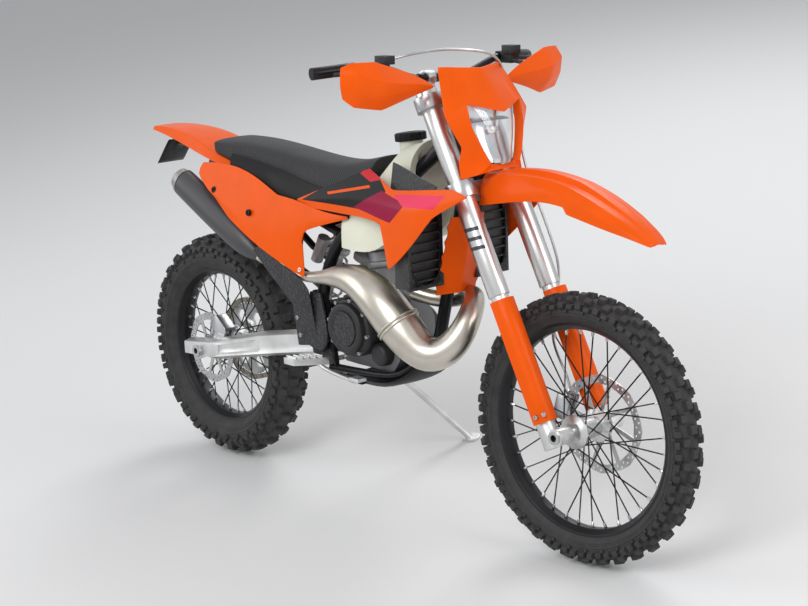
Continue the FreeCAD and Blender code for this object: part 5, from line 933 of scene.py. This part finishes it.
def tread(wheel):
    """The tread: pairs of middle, inner and shoulder knobs, staggered around the tyre."""
    # Each row: its start in the pitch on the right and the left, its lean, its knobs' length, width, height
    rows = ((0.0, 0.175, 13, 0.026, 0.45 * wheel.half, 0.0155), (0.5, 0.5, 40, 0.023, 0.019, 0.0155),
            (0.12, 0.12, 66, 0.019, 0.017, 0.0150), (0.62, 0.62, 70, 0.021, 0.014, 0.0135),
            (0.37, 0.37, 84, 0.009, 0.010, 0.009))
    rings = []
    for right, left, lean, length, width, height in rows:
        places = []
        for turn in range(wheel.pitches):
            for start, tilt in ((right, -lean), (left, lean)):
                seat, out = tread_place(wheel, tilt)
                places.append(around(2 * math.pi * (turn + start) / wheel.pitches)
                              @ towards(seat, out, AHEAD))
        rings.append(copied(knob(length, width, height), places, "knobs"))
    return joined(rings, wheel.side + "_knobs")


RIDGE = 0.0011


def bead_ridges(wheel):
    """Thin raised rings on both sidewalls."""
    rings = []
    for lean in (-112, -104, -92, 92, 104, 112):
        place, out = tread_place(wheel, lean)
        rings.append(lathe("ridge", [(place.z - RIDGE, place.y),
                                     (place.z, place.y + math.copysign(RIDGE, lean)),
                                     (place.z + RIDGE, place.y)], RING_SIDES))
    return joined(rings, wheel.side + "_ridges")


class BIKE_OT_tyres(bpy.types.Operator):
    """Model both tyres: smooth carcass, staggered knobs and raised rings on the sidewalls"""
    bl_idname = "bike.tyres"
    bl_label = "Tyres"

    def execute(self, context):
        for wheel in WHEELS:
            tyre = joined([carcass(wheel), bead_ridges(wheel), tread(wheel)], wheel.side + "_knobby_tyre")
            tyre.data.transform(Matrix.Translation(wheel.axle))
            shade(tyre, 32.0)
            seat_on(tyre, wheel.side + "_wheel", "rubber", [wheel.side + "_tyre"])
        return {"FINISHED"}


# Half the rim's section: the rise from the bead seat, the share of the half width, and the way in from there
RIM_SECTION = ((-0.016, 0.45, 0.0), (-0.006, 0.8, 0.0), (-0.004, 1, 0.0), (0.0072, 1, 0.0),
               (0.008, 1, 0.0012), (0.008, 1, 0.003), (0.0, 1, 0.004), (-0.012, 0.45, 0.0))
NIPPLE = [(0.0001, 0.0), (0.0030, 0.0), (0.0042, 0.002), (0.0042, 0.010), (0.0028, 0.016), (0.0001, 0.016)]
NIPPLE_SEAT, NIPPLE_LEAN, SPOKES = -0.015, 0.20, 36


class BIKE_OT_rims(bpy.types.Operator):
    """Turn both rims and set a nipple at the end of every spoke"""
    bl_idname = "bike.rims"
    bl_label = "Rims and nipples"

    def execute(self, context):
        for wheel in WHEELS:
            body, to_axle = wheel.side + "_wheel", Matrix.Translation(wheel.axle)
            section = [(wheel.rim + rise, way_in - share * wheel.rim_half)
                       for rise, share, way_in in RIM_SECTION]
            section += [(wide, -place) for wide, place in reversed(section)]
            ring = lathe(wheel.side + "_rim_channel", section, RING_SIDES)
            ring.data.transform(to_axle)
            round_edges(ring, 0.0008, 30.0, 1)
            shade(ring, 40.0)
            seat_on(ring, body, "rim", [wheel.side + "_rim"])
            places = []
            for index in range(SPOKES):
                way = Vector((0.0, NIPPLE_LEAN if index % 2 else -NIPPLE_LEAN, -1.0))
                stood = towards(Vector((0.0, 0.0, wheel.rim + NIPPLE_SEAT)), way, AHEAD) @ TO_Z
                places.append(around(2 * math.pi * (index + 0.5) / SPOKES) @ stood)
            row = copied(lathe("nipple", NIPPLE, 8, False), places, wheel.side + "_spoke_nipples")
            row.data.transform(to_axle)
            shade(row, 40.0)
            seat_on(row, body, "steel")
        return {"FINISHED"}


DISC_HOLES = 32


def drill_ring(wheel, inset, size, start):
    """Round rods in a ring through a disc, inset from its edge, to drill it with."""
    rod = primitive(bpy.ops.mesh.primitive_cylinder_add, vertices=12, radius=size, depth=0.02,
                    rotation=(math.pi / 2, 0, 0))
    out = Matrix.Translation((0, wheel.disc_side, wheel.disc - inset))
    places = [around(2 * math.pi * (turn + start) / DISC_HOLES) @ out for turn in range(DISC_HOLES)]
    return copied(rod, places, "rods")


class BIKE_OT_discs(bpy.types.Operator):
    """Drill the brake discs in two staggered rings"""
    bl_idname = "bike.discs"
    bl_label = "Brake discs"

    def execute(self, context):
        for wheel in WHEELS:
            body, node = wheel.side + "_wheel", wheel.side + "_disc"
            plate = copy_of(node, wheel.side + "_wave_disc")
            rods = joined([drill_ring(wheel, 0.0085, 0.0034, 0.0),
                           drill_ring(wheel, 0.0170, 0.0030, 0.5)], "rods")
            rods.data.transform(CARRIER[body] @ Matrix.Translation(wheel.axle))
            modify(plate, "BOOLEAN", operation="DIFFERENCE", solver="EXACT", object=rods)
            bpy.data.objects.remove(rods)
            shade(plate, 30.0)
            carry(plate, body, "steel", [node])
        return {"FINISHED"}


class BIKE_OT_seat(bpy.types.Operator):
    """Draw the seat into a crowned pad under its ribbed cover"""
    bl_idname = "bike.seat"
    bl_label = "Seat"

    def execute(self, context):
        pad = copy_of("seat", "ribbed_seat")
        crease(pad, 58, 0.75)
        subdivide(pad, 3)
        shade(pad, 60.0)
        carry(pad, "chassis", "seat", ["seat"])
        return {"FINISHED"}


# Small fittings on the upright bike

def cap_screw(radius, height):
    """A screw's head with a socket in its top, standing along Z."""
    head = lathe("screw", [(radius, -height), (radius, 0.8 * height), (0.86 * radius, height),
                           (0.5 * radius, height), (0.44 * radius, 0.45 * height),
                           (0.0001, 0.45 * height)], 16)
    head.data.transform(TO_Z)
    return head


def screws(name, spots, radius, height, body, finish, slot):
    """One kind of screw at every spot."""
    places = [towards(mm(place), Vector(out), Vector((0.1, 0.2, 1.0))) for place, out in spots]
    row = copied(cap_screw(radius, height), places, name)
    shade(row, 35.0)
    seat_on(row, body, finish)


def both_hands(*spots):
    return [*spots, *[((x, -y, z), (out[0], -out[1], out[2])) for (x, y, z), out in spots]]


# The clutch cover's middle and the radius of its ring of bolts, in millimetres
CLUTCH, CLUTCH_RING = (722, -144, 520), 79
CLUTCH_TURNS = [math.radians(45 * index + 10) for index in range(8)]
# Each kind of screw: its spots as a place in millimetres and the way out, its radius and height in metres, and
# its body, finish and slot
SCREWS = (
    ("panel_studs", both_hands(((162, -147, 852), (0, -1, 0.25)), ((340, -161, 805), (0, -1, 0.2))),
     0.0095, 0.003, "chassis", "black", "black_plastic"),
    ("panel_bolts", both_hands(((552, -150, 664), (0, -1, 0.3))),
     0.007, 0.005, "chassis", "steel", "axle_steel"),
    ("cover_bolts", [((512, -136, 520), (0, -1, 0)), ((520, -134, 470), (0, -1, 0))],
     0.006, 0.004, "chassis", "dull", "axle_steel"),
    ("guard_bolts", both_hands(((1433, -136, 397), (0.1, -1, 0)), ((1449, -126, 405), (0.7, -0.7, 0.3))),
     0.006, 0.005, "steering", "steel", "axle_steel"),
    ("clutch_bolts",
     [((CLUTCH[0] + CLUTCH_RING * math.sin(turn), -128, CLUTCH[2] + CLUTCH_RING * math.cos(turn)), (0, -1, 0))
      for turn in CLUTCH_TURNS],
     0.0055, 0.006, "chassis", "steel", "axle_steel"),
)


class BIKE_OT_fasteners(bpy.types.Operator):
    """Set the studs and screws of the bodywork, covers and fork guards"""
    bl_idname = "bike.fasteners"
    bl_label = "Studs and screws"

    def execute(self, context):
        for kind in SCREWS:
            screws(*kind)
        return {"FINISHED"}


# The weld beads: a middle and the pipe's radius there in millimetres, the way along the pipe, and the section
# from the pipe's radius in metres
BEADS = (((949, -141, 562), 61.0), ((943, -142.5, 569), 61.2))
BEAD_WAY = Vector((-0.82, -0.2, 0.97))
BEAD_SECTION = ((-0.004, -0.003), (0.0012, -0.0022), (0.0022, 0.0), (0.0012, 0.0022), (-0.004, 0.003))


class BIKE_OT_pipe_rings(bpy.types.Operator):
    """Lay a double weld bead around the expansion chamber where its cones meet"""
    bl_idname = "bike.pipe_rings"
    bl_label = "Pipe's weld rings"

    def execute(self, context):
        rings = []
        for place, radius in BEADS:
            ring = lathe("bead", [(radius / 1000 + rise, side) for rise, side in BEAD_SECTION], 64)
            ring.data.transform(towards(mm(place), BEAD_WAY, Vector((0, 1, 0))) @ TO_Z)
            rings.append(ring)
        beads = joined(rings, "pipe_weld_rings")
        shade(beads, 60.0)
        seat_on(beads, "chassis", "pipe")
        return {"FINISHED"}


CAP_SECTION = [(0.0345, -0.020), (0.0395, -0.020), (0.0405, -0.018), (0.0405, 0.0), (0.0385, 0.003),
               (0.0260, 0.004), (0.0250, 0.0025), (0.0001, 0.0025)]
CAP_SIDES = 64
CAP_PLACE, CAP_WAY = Vector((0.862, 0.0, 1.053)), Vector((-0.11, 0, 0.99))


def on_grip(corner):
    """Whether a corner of the cap is on one of the grips around its wall, two sides on and two sides off."""
    side = math.degrees(math.atan2(corner.x, corner.z)) * CAP_SIDES / 360 + CAP_SIDES / 2
    return -0.019 < corner.y < 0.001 and math.hypot(corner.x, corner.z) > 0.039 and int(side + 0.5) % 4 < 2


class BIKE_OT_tank_cap(bpy.types.Operator):
    """Turn the tank's screw cap and pull out its grips"""
    bl_idname = "bike.tank_cap"
    bl_label = "Tank cap"

    def execute(self, context):
        cap = lathe("tank_screw_cap", CAP_SECTION, CAP_SIDES, False)
        edit(cap)
        pick(cap, on_grip)
        bpy.ops.transform.resize(value=(1.06, 1.0, 1.06), center_override=(0, 0, 0))
        done()
        cap.data.transform(towards(CAP_PLACE, CAP_WAY, AHEAD) @ TO_Z)
        round_edges(cap, 0.0006, 40.0, 1)
        shade(cap, 40.0)
        seat_on(cap, "chassis", "black")
        return {"FINISHED"}


UNDER_SEAT = (
    ((196, -100, 958), (310, -100, 948), (431, -102, 928), (527, -104, 905), (600, -106, 895),
     (740, -112, 885)),
    ((201, -114, 940), (313, -116, 926), (425, -120, 900), (520, -121, 872), (590, -121, 862),
     (740, -122, 855)),
    ((204, -116, 918), (312, -119, 898), (400, -123, 865), (470, -125, 838), (550, -123, 830),
     (740, -121, 822)),
)
FRAME_PLATE = (
    ((335, -150, 695), (391, -150, 649), (454, -148, 600), (497, -142, 560), (495, -131, 495),
     (494, -124, 434)),
    ((352, -153, 704), (422, -153, 664), (500, -151, 622), (536, -146, 588), (538, -134, 510),
     (540, -126, 442)),
    ((364, -150, 710), (452, -150, 675), (549, -150, 638), (575, -145, 609), (579, -132, 522),
     (585, -124, 448)),
)


class BIKE_OT_side_covers(bpy.types.Operator):
    """Mould the black fillers under the seat and the grained cover over the frame"""
    bl_idname = "bike.side_covers"
    bl_label = "Black side covers"

    def execute(self, context):
        shell("under_seat_fillers", UNDER_SEAT, RIGHT_OUT, "chassis", "black", (), "black_plastic", levels=1)
        shell("frame_side_cover", FRAME_PLATE, RIGHT_OUT, "chassis", "grained", (), "black_plastic",
              both=False)
        return {"FINISHED"}


CLUTCH_DISC = [(0.0001, 0.0), (0.0080, 0.0), (0.0095, 0.0015), (0.0440, 0.0015), (0.0455, 0.0035),
               (0.0485, 0.0035), (0.0500, -0.004), (0.0001, -0.004)]


class BIKE_OT_clutch_disc(bpy.types.Operator):
    """Turn the clutch cover's ringed middle disc"""
    bl_idname = "bike.clutch_disc"
    bl_label = "Clutch cover disc"

    def execute(self, context):
        disc = lathe("clutch_cover_disc", CLUTCH_DISC, 64, False)
        disc.data.transform(Matrix.Translation(mm(CLUTCH)) @ Matrix.Rotation(math.pi, 4, "Z"))
        shade(disc, 30.0)
        seat_on(disc, "chassis", "grained")
        return {"FINISHED"}


def soft_lamp(name, place, target, size, power):
    """A square studio lamp that faces a point."""
    light = bpy.data.lights.new(name, "AREA")
    light.energy = power
    light.size = size
    lamp = bpy.data.objects.new(name, light)
    lamp.location = place
    lamp.rotation_euler = (Vector(target) - Vector(place)).to_track_quat("-Z", "Y").to_euler()
    bpy.context.scene.collection.objects.link(lamp)


# Each lamp's place, what it faces, its width in metres and its power in watts
LAMPS = (
    ("key_lamp", (1.6, -4.2, 4.8), (0, 0, 0.6), 3.0, 160),
    ("fill_lamp", (-4.2, -3.2, 3.0), (0, 0, 0.6), 3.0, 60),
    ("front_lamp", (5.0, 1.0, 2.6), (0.4, 0, 0.6), 2.5, 80),
    ("rim_lamp", (-1.5, 4.0, 4.0), (0, 0, 0.7), 2.5, 100),
)


def studio_world():
    """A plain pale world, brighter where metal and glass show it."""
    world = bpy.data.worlds.new("studio_light")
    world.use_nodes = True
    background = world.node_tree.nodes["Background"]
    start = Wire(world.node_tree, None)
    rays = {ray.socket.name: ray for ray in outputs_of(start.add("ShaderNodeLightPath"))}
    shown = start.sum("MAXIMUM", rays["Is Glossy Ray"], rays["Is Transmission Ray"])
    start.feed(background.inputs["Strength"], 0.42 + shown * 0.4)
    background.inputs["Color"].default_value = rgb((0.9, 0.92, 0.95))
    return world


class BIKE_OT_stage(bpy.types.Operator):
    """Lay the floor, hang the lamps and set up the camera"""
    bl_idname = "bike.stage"
    bl_label = "Stage"

    def execute(self, context):
        scene = context.scene
        stage = scene.bike_stage
        bpy.ops.mesh.primitive_plane_add(size=stage.floor_size, location=(0, 0, 0))
        floor = context.object
        floor.name = "studio_floor"
        finish, place = new_finish("studio_floor")
        cloud = noise(place, 0.7, 2.0)
        colour = scene.bike_colours.floor
        tone = mix(cloud.clamp(0.2, 0.8), rgb(colour, 0.985), rgb(colour))
        floor.data.materials.append(finish_with(finish, tone, 0.7))
        scene.world = studio_world()
        for lamp in LAMPS:
            soft_lamp(*lamp)
        eye = bpy.data.cameras.new("photo_camera")
        eye.lens = stage.lens
        eye.sensor_width = 36.0
        eye.clip_end = 200.0
        camera = bpy.data.objects.new("photo_camera", eye)
        camera.location = stage.camera_place
        camera.rotation_euler = stage.camera_turn
        scene.collection.objects.link(camera)
        scene.camera = camera
        scene.view_settings.view_transform = "Standard"
        return {"FINISHED"}


class BIKE_PT_panel(bpy.types.Panel):
    bl_idname = "BIKE_PT_panel"
    bl_label = "Enduro bike"
    bl_space_type = "VIEW_3D"
    bl_region_type = "UI"
    bl_category = "Bike"

    def draw(self, context):
        for group in (context.scene.bike_colours, context.scene.bike_stage):
            for name in group.bl_rna.properties.keys():
                if name not in ("rna_type", "name"):
                    self.layout.prop(group, name)
        for step in STEPS:
            self.layout.operator(step.bl_idname)


STEPS = (BIKE_OT_finishes, BIKE_OT_parts, BIKE_OT_bodywork, BIKE_OT_mask, BIKE_OT_mudguard,
         BIKE_OT_hand_shields, BIKE_OT_tyres, BIKE_OT_rims, BIKE_OT_discs, BIKE_OT_seat, BIKE_OT_fasteners,
         BIKE_OT_pipe_rings, BIKE_OT_tank_cap, BIKE_OT_side_covers, BIKE_OT_clutch_disc, BIKE_OT_stage)
GROUPS = (BikeColours, BikeStage)


def register():
    for group in GROUPS:
        bpy.utils.register_class(group)
    for step in STEPS:
        bpy.utils.register_class(step)
    bpy.utils.register_class(BIKE_PT_panel)
    bpy.types.Scene.bike_colours = bpy.props.PointerProperty(type=BikeColours)
    bpy.types.Scene.bike_stage = bpy.props.PointerProperty(type=BikeStage)


def unregister():
    del bpy.types.Scene.bike_stage
    del bpy.types.Scene.bike_colours
    bpy.utils.unregister_class(BIKE_PT_panel)
    for step in reversed(STEPS):
        bpy.utils.unregister_class(step)
    for group in reversed(GROUPS):
        bpy.utils.unregister_class(group)


def main():
    register()
    for step in STEPS:
        category, name = step.bl_idname.split(".")
        getattr(getattr(bpy.ops, category), name)()


if __name__ == "__main__":
    main()
